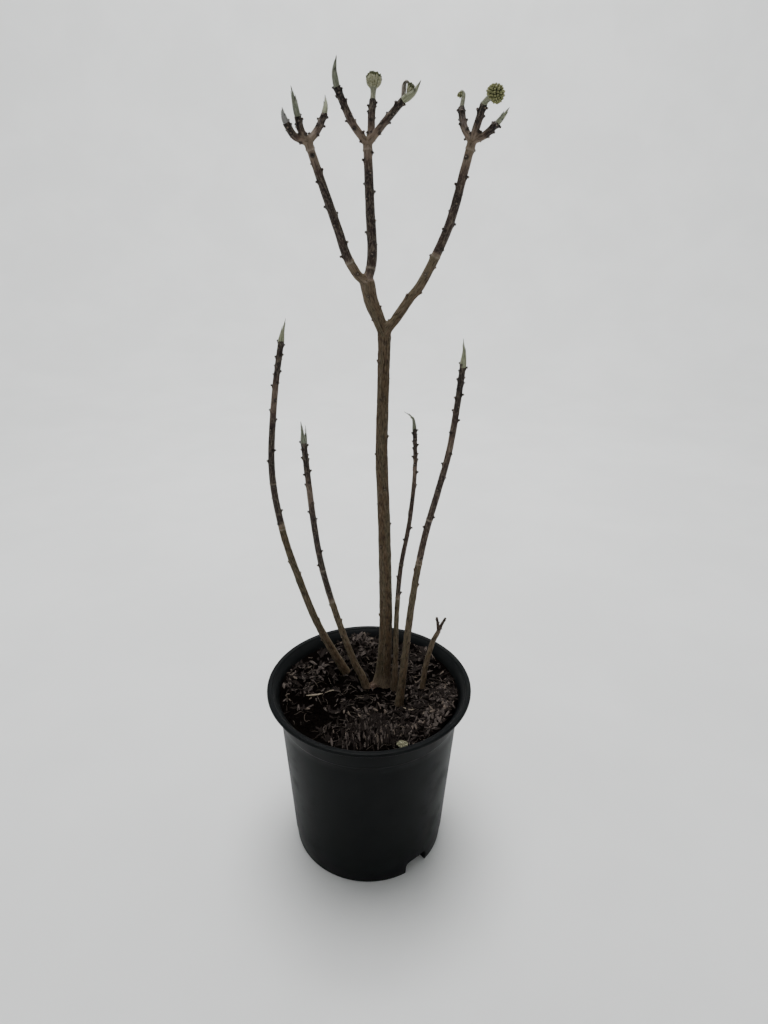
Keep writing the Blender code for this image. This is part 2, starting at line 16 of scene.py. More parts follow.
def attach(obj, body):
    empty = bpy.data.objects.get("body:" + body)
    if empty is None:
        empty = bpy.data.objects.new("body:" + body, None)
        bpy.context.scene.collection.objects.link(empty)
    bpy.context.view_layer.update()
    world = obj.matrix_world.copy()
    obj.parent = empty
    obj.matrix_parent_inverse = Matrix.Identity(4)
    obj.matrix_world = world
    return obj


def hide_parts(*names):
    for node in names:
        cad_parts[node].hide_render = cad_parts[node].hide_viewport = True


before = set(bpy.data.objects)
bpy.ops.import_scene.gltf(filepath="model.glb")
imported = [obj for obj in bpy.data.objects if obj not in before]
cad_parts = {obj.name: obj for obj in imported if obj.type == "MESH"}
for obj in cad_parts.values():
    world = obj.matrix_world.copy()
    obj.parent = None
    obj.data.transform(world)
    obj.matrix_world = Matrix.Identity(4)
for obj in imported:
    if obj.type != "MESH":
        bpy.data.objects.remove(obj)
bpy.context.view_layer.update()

MM = 0.001
ROOT = "root"

# Camera: where the eye is, in metres, how it looks, and its lens
EYE = (0.010, -0.535, 0.571)
LOOKING_DOWN = 20.6
ROLL = 0.64
FOCAL_LENGTH = 24.61
SENSOR = 36.0
SHIFT = (0.0015, -0.0371)

# Pot, as in the part's source
POT_SEGMENTS = 160
POT_HEIGHT = 166.0
RIM_RADIUS = 93.0
LIP_WIDTH = 5.0
LIP_DEPTH = 3.2
POT_WALL = 1.4
NECK_RADIUS = 83.6
NECK_HEIGHT = 158.0
COLLAR_DROP = 24.0
COLLAR_STEP = 0.8
HEEL_RADIUS = 71.8
HEEL_HEIGHT = 14.0
FOOT_RADIUS = 70.1
FOOT_WIDTH = 9.0
FLOOR_RISE = 5.0
ARCH_WIDTH = 24.0
ARCH_HEIGHT = 14.5
ARCH_CORNER = 6.0
ARCH_DEPTH = 17.0
ARCH_BEARINGS = (-50.0, 130.0)
HOLE_RADIUS = 5.0
HOLE_CIRCLE = 40.0
HOLE_COUNT = 6
HOLE_TURN = 11.0

# Soil, as in the part's source
CLEAR = 0.3
SOIL_LEVEL = 150.0
SOIL_CEILING = 161.5
SOIL_EDGE = (152.0, 157.9)
SOIL_EDGE_LIFT = 5.0
PAD_MARGIN = 7.0
PAD_FADE = 9.0
SOIL_HEAPS = (
    (3.0, -56.0, 8.0, 24.0), (70.0, -22.0, 9.0, 26.0), (-11.0, 71.0, 10.0, 15.0),
    (50.0, 62.0, 5.0, 20.0), (-74.0, 12.0, 4.0, 20.0), (-52.0, -18.0, -4.0, 20.0),
)
COVER_LIFT = 0.35                   # the fine crust lies this far above the solid soil

# Limbs: routes and radii as in the part's source, most leaf scars closer together than there
HEAD_STEM = 5.0
GOLDEN_ANGLE = math.radians(137.5)
ROOT_LOBES = 3
LOBE_DEPTH = 0.14
FORK = (10.4, 13.0, 481.0)
UPPER_FORK = (-3.4, 14.0, 521.0)
HEAD_LEFT = (-42.8, -14.0, 614.0)
HEAD_MIDDLE = (-3.9, 40.0, 617.5)
HEAD_RIGHT = (68.5, -8.0, 615.9)

TRUNK_ROUTE = ((12.0, 18.5, SOIL_LEVEL), (14.6, 16.5, 206.0), (13.6, 15.8, 264.0),
               (11.6, 15.0, 326.0), (9.2, 14.5, 380.0), (9.8, 13.6, 440.0), FORK)
LEADER_ROUTE = (FORK, (7.2, 13.3, 489.0), (3.6, 13.5, 497.6), (-0.4, 13.7, 507.0), UPPER_FORK)
BOUGH_LEFT_ROUTE = (UPPER_FORK, (-10.5, 12.0, 525.6), (-18.5, 7.0, 540.1),
                    (-23.9, 2.5, 557.0), (-31.5, -4.0, 579.6), HEAD_LEFT)
BOUGH_MIDDLE_ROUTE = (UPPER_FORK, (-0.6, 17.0, 530.5), (0.4, 20.0, 544.0),
                      (-1.4, 26.5, 570.0), HEAD_MIDDLE)
BOUGH_RIGHT_ROUTE = (FORK, (14.2, 12.7, 486.9), (21.0, 12.0, 496.2), (29.2, 10.0, 508.8),
                     (39.2, 6.7, 523.0), (55.6, 0.8, 560.6), (64.5, -5.0, 597.5), HEAD_RIGHT)
TRUNK_RADII = (6.1, 4.4)
TRUNK_FLARE = 3.0
TRUNK_FLARE_REACH = 13.0
CROTCH_SWELL = 1.1
CROTCH_REACH = 14.0
LEADER_RADII = (4.5, 5.8)
LEFT_RADII = (3.5, 2.6)
MIDDLE_RADII = (3.8, 3.1)
RIGHT_RADII = (3.7, 2.8)
TRUNK_SCARS = (26.0, 14.0)           # gaps between scars, low on the limb and at its tip
BOUGH_SCARS = (9.0, 5.5)
LEADER_SCARS = (7.0, 4.5)
SCAR_LEAN = 13.0                    # degrees a scar leans towards the limb's tip

# Basal shoots: route, radius low down and below the bud, scar spacing at each end
SUCKERS = {
    "stem_outer_left": (
        ((-23.0, 35.0, SOIL_LEVEL), (-32.5, 31.0, 171.5), (-50.4, 29.2, 211.6),
         (-65.8, 27.8, 259.5), (-77.7, 26.3, 306.1), (-84.4, 24.7, 362.0),
         (-79.5, 22.5, 423.4), (-71.6, 20.7, 472.3), (-67.1, 20.0, 491.6)),
        3.5, 2.3, 24.0, 4.6),
    "stem_inner_left": (
        ((-2.5, 12.0, SOIL_LEVEL), (-7.9, 11.8, 165.3), (-15.0, 10.8, 182.0),
         (-29.7, 7.6, 231.1), (-41.1, 4.3, 279.6), (-47.4, 0.9, 326.7),
         (-52.9, -4.3, 394.9), (-54.6, -6.0, 415.7)),
        2.9, 2.3, 22.0, 4.8),
    "stem_thin_right": (
        ((23.0, 8.5, SOIL_LEVEL), (24.0, 10.5, 185.0), (24.2, 12.9, 223.7),
         (26.7, 15.9, 272.2), (33.7, 18.9, 317.6), (37.5, 22.0, 364.0),
         (36.0, 24.9, 404.4), (33.0, 25.5, 411.6), (27.5, 26.0, 415.6)),
        2.3, 1.6, 22.0, 6.0),
    "stem_outer_right": (
        ((27.4, -12.3, SOIL_LEVEL), (29.8, -11.0, 176.0), (34.1, -13.0, 233.2),
         (38.8, -14.7, 279.5), (45.5, -16.5, 323.2), (54.7, -18.2, 364.1),
         (62.5, -20.0, 402.8), (68.5, -23.0, 465.4), (67.8, -24.0, 484.7)),
        3.1, 2.2, 24.0, 4.8),
}
SUCKER_FLARE = 1.0
SUCKER_FLARE_REACH = 20.0
BUD_LENGTH = 20.0
# Shapes of buds: share of the length, share of the full radius
BUD_SHAPE = ((0.0, 0.85), (0.14, 1.0), (0.34, 0.92), (0.6, 0.6), (0.8, 0.3), (1.0, 0.06))
SPEAR_SHAPE = ((0.0, 1.0), (0.15, 0.98), (0.35, 0.72), (0.6, 0.38), (0.8, 0.2), (1.0, 0.06))
CURL_SHAPE = ((0.0, 0.8), (0.3, 1.0), (0.75, 0.9), (0.93, 0.6), (1.0, 0.2))
STUB_RADII = (2.5, 2.0)
STUB_SCARS = (16.0, 12.0)
PRONG_RADII = (1.7, 0.9)
PRONG_SCARS = (4.0, 3.0)
# How old the bark looks along each shoot: share of its length, age from 0 (tip) to 1 (old)
SUCKER_AGES = {
    "stem_outer_left": ((0.0, 0.92), (0.50, 0.95), (0.53, 0.22), (0.78, 0.2), (0.84, 0.5),
                        (0.89, 0.45), (0.93, 0.15), (1.0, 0.08)),
    "stem_inner_left": ((0.0, 0.8), (0.40, 0.85), (0.43, 0.22), (0.74, 0.2), (0.80, 0.48),
                        (0.87, 0.4), (0.92, 0.12), (1.0, 0.08)),
    "stem_thin_right": ((0.0, 0.85), (0.38, 0.85), (0.41, 0.3), (0.78, 0.32), (0.86, 0.55),
                        (0.92, 0.3), (1.0, 0.12)),
    "stem_outer_right": ((0.0, 0.9), (0.46, 0.92), (0.49, 0.35), (0.7, 0.22), (0.80, 0.45),
                         (0.87, 0.3), (0.92, 0.12), (1.0, 0.08)),
}
SUCKER_BUDS = {"stem_outer_left": "yellow", "stem_inner_left": "green",
               "stem_thin_right": "green", "stem_outer_right": "yellow"}
STUB_ROUTE = ((49.5, 10.9, SOIL_LEVEL), (52.5, 16.0, 172.0), (58.0, 19.0, 195.0),
              (63.5, 20.0, 207.9))
STUB_PRONGS = (((63.5, 20.0, 207.9), (62.6, 21.0, 215.0), (61.4, 21.8, 221.6)),
               ((63.5, 20.0, 207.9), (66.0, 18.0, 216.5), (69.0, 16.0, 224.4)))
# Route of the small second bud beside the tip of stem_inner_left
SECOND_TIP = ((-52.0, -3.2, 392.0), (-51.4, -1.8, 402.0), (-51.8, -0.4, 411.0))

CROWN_LENGTH = 38.0                 # stretch of closer scars under the bud of a basal shoot
CROWN_SCARS = (3.8, 2.3)
TWIG_SCARS = 3.2
TWIG_CROWN_LENGTH = 7.0
TWIG_CROWN_SCARS = (3.0, 2.2)
HAIRS_PER_BUD = 110
# Heads: fork, its stem's radius, the twigs' radii, then each twig on from the fork and what
# its end carries: kind, tip or middle, radius and tone
HEADS = {
    "twigs_left": (HEAD_LEFT, 2.9, (2.5, 2.15), (
        (((-47.0, -15.5, 615.2), (-52.2, -18.4, 618.0), (-56.4, -21.8, 624.9)),
         ("bud", (-57.9, -26.0, 633.5), 1.8, "silver")),
        (((-45.2, -14.6, 617.5), (-47.3, -15.9, 621.5), (-48.9, -18.2, 629.2)),
         ("bud", (-52.3, -22.0, 646.5), 1.9, "green"), ("bud", (-49.5, -20.5, 641.5), 1.6, "green")),
        (((-40.6, -12.4, 616.5), (-36.4, -8.3, 622.5), (-32.3, -3.0, 631.8)),
         ("bud", (-32.2, 3.8, 645.0), 1.75, "yellow")))),
    "twigs_middle": (HEAD_MIDDLE, 3.3, (2.75, 2.5), (
        (((-8.0, 38.3, 622.1), (-15.9, 34.7, 632.6), (-25.9, 27.9, 653.6)),
         ("bud", (-25.3, 22.0, 672.0), 2.2, "green")),
        (((-1.6, 42.3, 623.8), (-1.1, 47.0, 637.1), (-0.3, 50.9, 648.4)),
         ("goblet", (0.2, 56.0, 661.4), 6.2, "green")),
        (((1.0, 38.6, 623.0), (9.7, 35.7, 632.9), (22.0, 31.9, 646.0)),
         ("opening", (34.3, 28.0, 658.2), 2.6, "yellow")))),
    "twigs_right": (HEAD_RIGHT, 3.0, (2.5, 2.2), (
        (((67.0, -6.0, 618.5), (63.2, -0.8, 626.1), (61.6, 6.6, 638.4)),
         ("nodding", (60.7, 9.2, 646.4), 1.4, "silver")),
        (((69.4, -9.8, 619.6), (71.2, -14.2, 627.2), (73.9, -19.9, 637.8)),
         ("rosette", (80.1, -26.0, 642.5), 6.2, "green")),
        (((71.9, -9.6, 617.6), (76.9, -12.1, 619.9), (83.7, -16.1, 626.3)),
         ("bud", (90.6, -21.5, 635.4), 1.6, "yellow"), ("bud", (87.0, -21.0, 633.3), 1.2, "green"),
         ("bud", (88.6, -20.5, 631.5), 1.2, "silver")))),
}

FRAME_VOXEL = 0.56                  # grain of the skins, in mm
SHOOT_VOXEL = 0.46
TWIG_VOXEL = 0.36
SKIN_SWELL = 0.15                   # the limbs are this much thicker before they are melted
SEEDS = {"scars": 61, "litter": 71, "buds": 81, "flowers": 91}

# Set, in metres: a round floor that bends up into a wall, a dim sky, and lamps
FLOOR_FLAT = 1.6
FLOOR_BEND = 1.2
WALL_TOP = 2.1
SET_SEGMENTS = 96
SKY_COLOUR = (0.97, 0.985, 1.0, 1.0)
SKY_STRENGTH = 0.11
# Lamps: place, what it points at, size and power
LAMPS = {
    "overhead": ((-0.1, 0.3, 2.5), (0.0, 0.0, 0.3), 1.6, 56.0),
    "front": ((-0.7, -1.7, 1.6), (0.0, 0.0, 0.4), 1.2, 4.0),
    "backdrop": ((0.0, 1.0, 2.3), (0.0, 2.6, 0.7), 1.4, 46.0),
}


# ---------------------------------------------------------------- materials

class Value:
    """A shader socket. Sums, differences and products of it add Math nodes."""

    def __init__(self, finish, socket):
        self.finish = finish
        self.socket = socket

    def math(self, operation, *terms):
        return self.finish.node("ShaderNodeMath", {"operation": operation},
                                dict(enumerate(terms)))

    def __add__(self, other):
        return self.math("ADD", self, other)

    def __sub__(self, other):
        return self.math("SUBTRACT", self, other)

    def __rsub__(self, other):
        return self.math("SUBTRACT", other, self)

    def __mul__(self, other):
        return self.math("MULTIPLY", self, other)

    __radd__ = __add__
    __rmul__ = __mul__


class Finish:
    """A material in the making: node() adds any node, wear() closes it."""

    def __init__(self, name):
        self.material = bpy.data.materials.new(name)
        self.material.use_nodes = True
        self.tree = self.material.node_tree
        self.shader = self.tree.nodes["Principled BSDF"]

    def node(self, kind, settings=None, inputs=None, output=0):
        made = self.tree.nodes.new(kind)
        for key, value in (settings or {}).items():
            if key == "stops":
                self.set_stops(made.color_ramp, value)
            else:
                setattr(made, key, value)
        for key, value in (inputs or {}).items():
            if isinstance(value, Value):
                self.tree.links.new(value.socket, made.inputs[key])
            else:
                made.inputs[key].default_value = value
        return Value(self, made.outputs[output])

    @staticmethod
    def set_stops(ramp, stops):
        while len(ramp.elements) < len(stops):
            ramp.elements.new(0.5)
        for element, (place, colour) in zip(ramp.elements, stops):
            element.position = place
            element.color = (*colour, 1.0)

    def place(self):
        """Object coordinates in millimetres."""
        spot = self.node("ShaderNodeTexCoord", output=3)
        return self.stretch(spot, (1 / MM, 1 / MM, 1 / MM))

    def stretch(self, vector, factors):
        return self.node("ShaderNodeVectorMath", {"operation": "MULTIPLY"},
                         {0: vector, 1: factors})

    def grain(self, vector, scale, detail=3.0, roughness=0.55):
        return self.node("ShaderNodeTexNoise", {}, {
            "Vector": vector, "Scale": scale, "Detail": detail, "Roughness": roughness})

    def cells(self, vector, scale):
        """Distance to the nearest of many scattered points."""
        return self.node("ShaderNodeTexVoronoi", {}, {"Vector": vector, "Scale": scale})

    def fade(self, value, low, high):
        """0 at low, 1 at high, and a smooth change between; low may be the larger one."""
        return self.node("ShaderNodeMapRange", {"interpolation_type": "SMOOTHSTEP"}, {
            "Value": value, "From Min": low, "From Max": high})

    def ramp(self, value, stops):
        return self.node("ShaderNodeValToRGB", {"stops": stops}, {"Fac": value})

    def mix(self, share, one, two):
        one, two = (c if isinstance(c, Value) else (*c, 1.0) for c in (one, two))
        return self.node("ShaderNodeMix", {"data_type": "RGBA"}, {0: share, 6: one, 7: two},
                         output=2)

    def bump(self, height, distance, strength=1.0):
        return self.node("ShaderNodeBump", {}, {
            "Height": height, "Distance": distance * MM, "Strength": strength})

    def wear(self, **sockets):
        """Set or link the shader's own sockets, named with underscores for spaces."""
        for name, value in sockets.items():
            socket = self.shader.inputs[name.replace("_", " ")]
            if isinstance(value, Value):
                self.tree.links.new(value.socket, socket)
            elif isinstance(value, tuple):
                socket.default_value = (*value, 1.0)
            else:
                socket.default_value = value
        return self.material


def pot_plastic():
    """Black moulded plastic: a satin skin with faint flow marks, and dust caught on it."""
    finish = Finish("pot_plastic")
    place = finish.place()
    cloud = finish.grain(place, 0.035, 4.0)
    flow = finish.grain(finish.stretch(place, (1.0, 1.0, 0.12)), 0.5, 3.0)
    speck = finish.fade(finish.grain(place, 0.9, 2.0, 0.7), 0.70, 0.78)
    dust = finish.fade(finish.grain(place, 0.06, 3.0), 0.45, 0.75) * 0.35 + speck * 0.5
    plain = finish.mix(cloud, (0.0035, 0.0042, 0.0045), (0.008, 0.009, 0.0095))
    colour = finish.mix(dust * 0.25, plain, (0.030, 0.028, 0.025))
    rough = 0.36 + cloud * 0.1 + dust * 0.3
    height = flow * 0.5 + finish.grain(place, 2.2, 2.0) * 0.3
    return finish.wear(Base_Color=colour, Roughness=rough, Specular_IOR_Level=0.05,
                       Normal=finish.bump(height, 0.06, 0.5))


def compost(name, dark, light):
    """Damp fine compost: near-black with lighter grains."""
    finish = Finish(name)
    place = finish.place()
    grains = finish.grain(place, 0.9, 4.0, 0.7)
    patches = finish.grain(place, 0.06, 2.0)
    share = finish.fade(grains, 0.48, 0.78) * (0.35 + 0.65 * patches)
    height = finish.grain(place, 1.6, 4.0, 0.7)
    return finish.wear(Base_Color=finish.mix(share, dark, light), Roughness=0.93,
                       Specular_IOR_Level=0.02, Normal=finish.bump(height, 0.5))


def bark_bits(name, dark, light):
    """Shredded bark: a plain tone with fibres."""
    finish = Finish(name)
    place = finish.place()
    fibre = finish.grain(finish.stretch(place, (2.6, 2.6, 0.7)), 0.9, 3.0, 0.65)
    colour = finish.mix(finish.fade(fibre, 0.34, 0.68), dark, light)
    return finish.wear(Base_Color=colour, Roughness=0.86, Specular_IOR_Level=0.15,
                       Normal=finish.bump(fibre, 0.25))


def stem_bark():
    """Bark that follows each limb: old and fissured, or young and smooth, dark at its scars."""
    finish = Finish("stem_bark")
    wood = finish.node("ShaderNodeAttribute", {"attribute_name": "wood"})
    age, scar, pale = (
        finish.node("ShaderNodeSeparateColor", {}, {"Color": wood}, output=part)
        for part in range(3))
    along = finish.node("ShaderNodeAttribute", {"attribute_name": "grain"}, output=1)
    streak = finish.grain(finish.stretch(along, (1.0, 1.0, 0.13)), 1.1, 4.0, 0.62)
    crack = finish.grain(finish.stretch(along, (1.0, 1.0, 0.11)), 1.8, 3.0, 0.6)
    broad = finish.grain(finish.stretch(along, (1.0, 1.0, 0.05)), 0.22, 3.0)
    patch = finish.grain(finish.stretch(along, (1.0, 1.0, 0.35)), 0.28, 2.0)
    dots = finish.cells(finish.stretch(along, (1.0, 1.0, 0.8)), 0.55)
    tone = finish.ramp(age + 0.22 * (patch - 0.5), (
        (0.0, (0.009, 0.006, 0.005)), (0.2, (0.020, 0.012, 0.010)),
        (0.38, (0.054, 0.033, 0.025)), (0.55, (0.170, 0.125, 0.092)),
        (0.75, (0.155, 0.118, 0.076)), (1.0, (0.135, 0.098, 0.054))))
    old = finish.fade(age, 0.55, 0.98)
    aged = finish.mix(finish.fade(broad, 0.40, 0.60), (0.078, 0.066, 0.041), (0.070, 0.042, 0.023))
    tone = finish.mix(old * 0.75, tone, aged)
    colour = finish.mix(finish.fade(streak, 0.48, 0.70) * 0.5, tone, (0.21, 0.17, 0.125))
    blotch = finish.grain(finish.stretch(along, (1.0, 1.0, 0.5)), 0.75, 2.0)
    colour = finish.mix(finish.fade(blotch, 0.50, 0.62) * (0.35 - 0.3 * old), colour,
                        (0.17, 0.135, 0.105))
    gaps = finish.fade(crack, 0.50, 0.38) * (0.5 + 0.3 * old)
    colour = finish.mix(gaps, colour, (0.013, 0.008, 0.004))
    freckle = finish.fade(dots, 0.17, 0.09) * (0.36 - 0.25 * old)
    colour = finish.mix(freckle, colour, (0.20, 0.16, 0.12))
    colour = finish.mix(scar, colour, (0.012, 0.009, 0.008))
    colour = finish.mix(pale, colour, (0.27, 0.23, 0.18))
    rough = 0.52 + 0.22 * old + 0.12 * streak
    height = streak * 0.4 + crack * 0.6 - gaps * 0.3
    return finish.wear(Base_Color=colour, Roughness=rough, Specular_IOR_Level=0.22,
                       Normal=finish.bump(height, 0.3))


def silk(name, deep, bright):
    """Young leaf under close silver hair that runs along it, dark at its dry tip."""
    finish = Finish(name)
    lay = finish.node("ShaderNodeUVMap", {"uv_map": "blade"})
    up = finish.node("ShaderNodeSeparateXYZ", {}, {"Vector": lay}, output=1)
    hair = finish.grain(finish.stretch(lay, (26.0, 2.2, 1.0)), 1.0, 3.0, 0.6)
    patch = finish.grain(finish.place(), 0.35, 2.0)
    share = finish.fade(hair, 0.36, 0.66) * (0.45 + 0.8 * patch)
    colour = finish.mix(share, deep, bright)
    colour = finish.mix(finish.fade(up, 0.72, 0.93) * 0.8, colour, (0.045, 0.042, 0.030))
    return finish.wear(Base_Color=colour, Roughness=0.62, Specular_IOR_Level=0.3,
                       Sheen_Weight=0.3, Sheen_Roughness=0.4, Normal=finish.bump(hair, 0.15))


def mottled(name, dark, light, scale=0.8, roughness=0.6, sheen=0.0):
    """A plain tone with a soft mottle."""
    finish = Finish(name)
    spots = finish.grain(finish.place(), scale, 3.0, 0.6)
    return finish.wear(Base_Color=finish.mix(finish.fade(spots, 0.35, 0.68), dark, light),
                       Roughness=roughness, Specular_IOR_Level=0.22, Sheen_Weight=sheen,
                       Normal=finish.bump(spots, 0.1))


# ---------------------------------------------------------------- meshes

def as_mesh(name, bm):
    """Mesh from a bmesh, which is freed."""
    mesh = bpy.data.meshes.new(name)
    bm.to_mesh(mesh)
    bm.free()
    return mesh


def placed(name, data):
    """Object in the scene for a mesh, a lamp or the camera."""
    thing = bpy.data.objects.new(name, data)
    bpy.context.scene.collection.objects.link(thing)
    return thing


def finished(name, bm, material, angle=40.0):
    """Turn a bmesh in millimetres into a piece of the plant, in metres, that rides on it."""
    bmesh.ops.scale(bm, vec=(MM, MM, MM), verts=bm.verts)
    mesh = as_mesh(name, bm)
    mesh.shade_smooth()
    mesh.set_sharp_from_angle(angle=math.radians(angle))
    mesh.materials.append(material)
    piece = placed(name, mesh)
    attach(piece, ROOT)
    return piece


def baked(piece):
    """Replace a piece's modifiers by their result."""
    view = bpy.context.evaluated_depsgraph_get()
    result = bpy.data.meshes.new_from_object(piece.evaluated_get(view))
    piece.modifiers.clear()
    piece.data = result
    return piece


def gathered(makers, batch=60):
    """One bmesh from many small shapes, each drawn by a function that is given a bmesh."""
    whole = bmesh.new()
    makers = list(makers)
    for first in range(0, len(makers), batch):
        part = bmesh.new()
        part.loops.layers.uv.new("blade")
        for make in makers[first:first + batch]:
            make(part)
        mesh = as_mesh("part", part)
        whole.from_mesh(mesh)
        bpy.data.meshes.remove(mesh)
    return whole


def verts_in(geom):
    """The vertices among what an extrusion made."""
    return [item for item in geom if isinstance(item, bmesh.types.BMVert)]


def spoke(turn, radius=1.0):
    """Vector of a length at a turn round Z."""
    return Vector((math.cos(turn) * radius, math.sin(turn) * radius, 0.0))


def pointing(place, way, front="Z"):
    """Matrix at a place with its front axis along way."""
    return Matrix.Translation(place) @ way.to_track_quat(front, "Y").to_matrix().to_4x4()


def step_up(value, low, high):
    """0 below low, 1 above high, and a smooth rise between."""
    share = min(max((value - low) / (high - low), 0.0), 1.0)
    return share * share * (3 - 2 * share)


class Route:
    """Smooth curve through a few points, measured by the distance along it."""

    FINE = 24
    REACH = 1.5

    def __init__(self, points):
        points = [Vector(point) for point in points]
        before = points[0] * 2 - points[1]
        after = points[-1] * 2 - points[-2]
        padded = [before] + points + [after]
        self.places = [points[0]]
        for a, b, c, d in zip(padded, padded[1:], padded[2:], padded[3:]):
            for step in range(1, self.FINE + 1):
                t = step / self.FINE
                self.places.append(0.5 * (2 * b + (c - a) * t + (2 * a - 5 * b + 4 * c - d) * t ** 2
                                          + (3 * b - a - 3 * c + d) * t ** 3))
        self.marks = [0.0]
        for one, two in zip(self.places, self.places[1:]):
            self.marks.append(self.marks[-1] + (two - one).length)
        self.length = self.marks[-1]

    def at(self, distance):
        number = min(max(bisect_left(self.marks, distance), 1), len(self.marks) - 1)
        low, high = self.marks[number - 1], self.marks[number]
        return self.places[number - 1].lerp(self.places[number], (distance - low) / (high - low))

    def along(self, distance):
        """Direction of the curve, averaged over a short stretch."""
        ahead = self.at(min(distance + self.REACH, self.length))
        behind = self.at(max(distance - self.REACH, 0.0))
        return (ahead - behind).normalized()


def frame_at(route, distance):
    """Matrix with its Z along the route at a distance, and its origin there."""
    tangent = route.along(distance)
    side = (Vector((0, 1, 0)) - tangent * tangent.y).normalized()
    axes = Matrix((side, tangent.cross(side), tangent)).transposed().to_4x4()
    return Matrix.Translation(route.at(distance)) @ axes


def between(stops, share):
    """Value at a share of the way, on straight lines through (share, value) stops."""
    for (low, low_value), (high, high_value) in zip(stops, stops[1:]):
        if share <= high:
            along = (share - low) / (high - low)
            return low_value + (high_value - low_value) * max(along, 0.0)
    return stops[-1][1]


def tube(bm, route, radius_at, start, end, sides, step, lobes=None):
    """Closed tube along a route, rolled up from one grid."""
    rows = max(2, round((end - start) / step))
    verts = bmesh.ops.create_grid(bm, x_segments=sides, y_segments=rows, size=0.5,
                                  calc_uvs=bool(bm.loops.layers.uv))["verts"]
    stations = {}
    for vert in verts:
        row = round((vert.co.y + 0.5) * rows)
        if row not in stations:
            distance = start + (end - start) * row / rows
            stations[row] = (distance, radius_at(distance), frame_at(route, distance))
        distance, radius, here = stations[row]
        turn = (vert.co.x + 0.5) * math.tau
        if lobes:
            radius *= lobes(distance, turn)
        vert.co = here @ spoke(turn, radius)
    bmesh.ops.remove_doubles(bm, verts=verts, dist=0.0005)
    bmesh.ops.holes_fill(bm, edges=[edge for edge in bm.edges if edge.is_boundary])


# ---------------------------------------------------------------- pot

def neck_slope():
    """How far the wall widens for each millimetre of height."""
    return (NECK_RADIUS - HEEL_RADIUS - COLLAR_STEP) / (NECK_HEIGHT - HEEL_HEIGHT)


def arc(centre, radius, first, last, steps):
    """Points on an arc in the profile's plane, from one angle in degrees to another."""
    points = []
    for step in range(steps + 1):
        turn = math.radians(first + (last - first) * step / steps)
        points.append((centre[0] + radius * math.cos(turn), centre[1] + radius * math.sin(turn)))
    return points


def outer_profile():
    """Outside of the pot, from the middle of its floor round the foot to the top of the lip."""
    top = POT_HEIGHT
    collar = top - COLLAR_DROP
    below = HEEL_RADIUS + neck_slope() * (collar - HEEL_HEIGHT)
    lip = 1.3                                       # roundness of the lip's outer edge
    toe = 0.7
    points = [(0.0, FLOOR_RISE), (FOOT_RADIUS - FOOT_WIDTH - 1.0, FLOOR_RISE)]
    points += arc((FOOT_RADIUS - FOOT_WIDTH + toe, toe), toe, 180, 270, 3)
    points += arc((FOOT_RADIUS - toe, toe), toe, 270, 350, 3)
    points += [(HEEL_RADIUS - 0.5, HEEL_HEIGHT - 2.0), (HEEL_RADIUS, HEEL_HEIGHT)]
    points += [(HEEL_RADIUS + neck_slope() * rise, HEEL_HEIGHT + rise)
               for rise in range(15, 130, 15)]
    points += [(below, collar - 0.9), (below + 0.2, collar - 0.4),
               (below + COLLAR_STEP - 0.2, collar + 0.3), (below + COLLAR_STEP, collar + 0.9),
               (NECK_RADIUS, NECK_HEIGHT - 1.0), (NECK_RADIUS + 1.0, NECK_HEIGHT + 1.8),
               (NECK_RADIUS + 3.4, top - LIP_DEPTH - 0.3)]
    points += arc((RIM_RADIUS - 0.9, top - LIP_DEPTH + 0.9), 0.9, 270, 360, 3)
    points += arc((RIM_RADIUS - lip, top - lip), lip, 5, 90, 5)
    return points + [(0.0, top)]


def inner_profile(clear=0.0):
    """Inside of the wall from the floor's middle up; clear draws it in by that much."""
    inside = POT_WALL + clear
    top = POT_HEIGHT + 1.0
    collar = POT_HEIGHT - COLLAR_DROP
    below = HEEL_RADIUS + neck_slope() * (collar - HEEL_HEIGHT)
    mouth = RIM_RADIUS - LIP_WIDTH - clear
    points = [(0.0, FLOOR_RISE + inside), (FOOT_RADIUS - inside + 0.7, FLOOR_RISE + inside),
              (HEEL_RADIUS - inside, HEEL_HEIGHT), (below - inside, collar - 0.5),
              (below + COLLAR_STEP - inside, collar + 0.5), (NECK_RADIUS - inside, NECK_HEIGHT),
              (mouth - 1.8, POT_HEIGHT - 2.2)]
    points += arc((mouth + 1.2, POT_HEIGHT - 1.2), 1.2, 180, 92, 4)
    return points + [(mouth + 1.2, top), (0.0, top)]


def inner_radius(height, clear):
    """Radius of the space inside the wall at a height above the floor."""
    profile = inner_profile(clear)[1:7]
    for (low_r, low_z), (high_r, high_z) in zip(profile, profile[1:]):
        if low_z <= height <= high_z:
            return low_r + (high_r - low_r) * (height - low_z) / (high_z - low_z)
    raise ValueError("height lies outside the wall")


def turned(profile, segments=POT_SEGMENTS):
    """Turn a profile of (radius, height) points, from the axis to the axis, into a body."""
    bm = bmesh.new()
    points = [bm.verts.new((radius, 0.0, height)) for radius, height in profile]
    edges = [bm.edges.new(pair) for pair in zip(points, points[1:])]
    bmesh.ops.spin(bm, geom=points + edges, cent=(0, 0, 0), axis=(0, 0, 1),
                   angle=math.tau, steps=segments, use_merge=True)
    bmesh.ops.remove_doubles(bm, verts=bm.verts, dist=0.001)
    bmesh.ops.recalc_face_normals(bm, faces=bm.faces)
    return bm


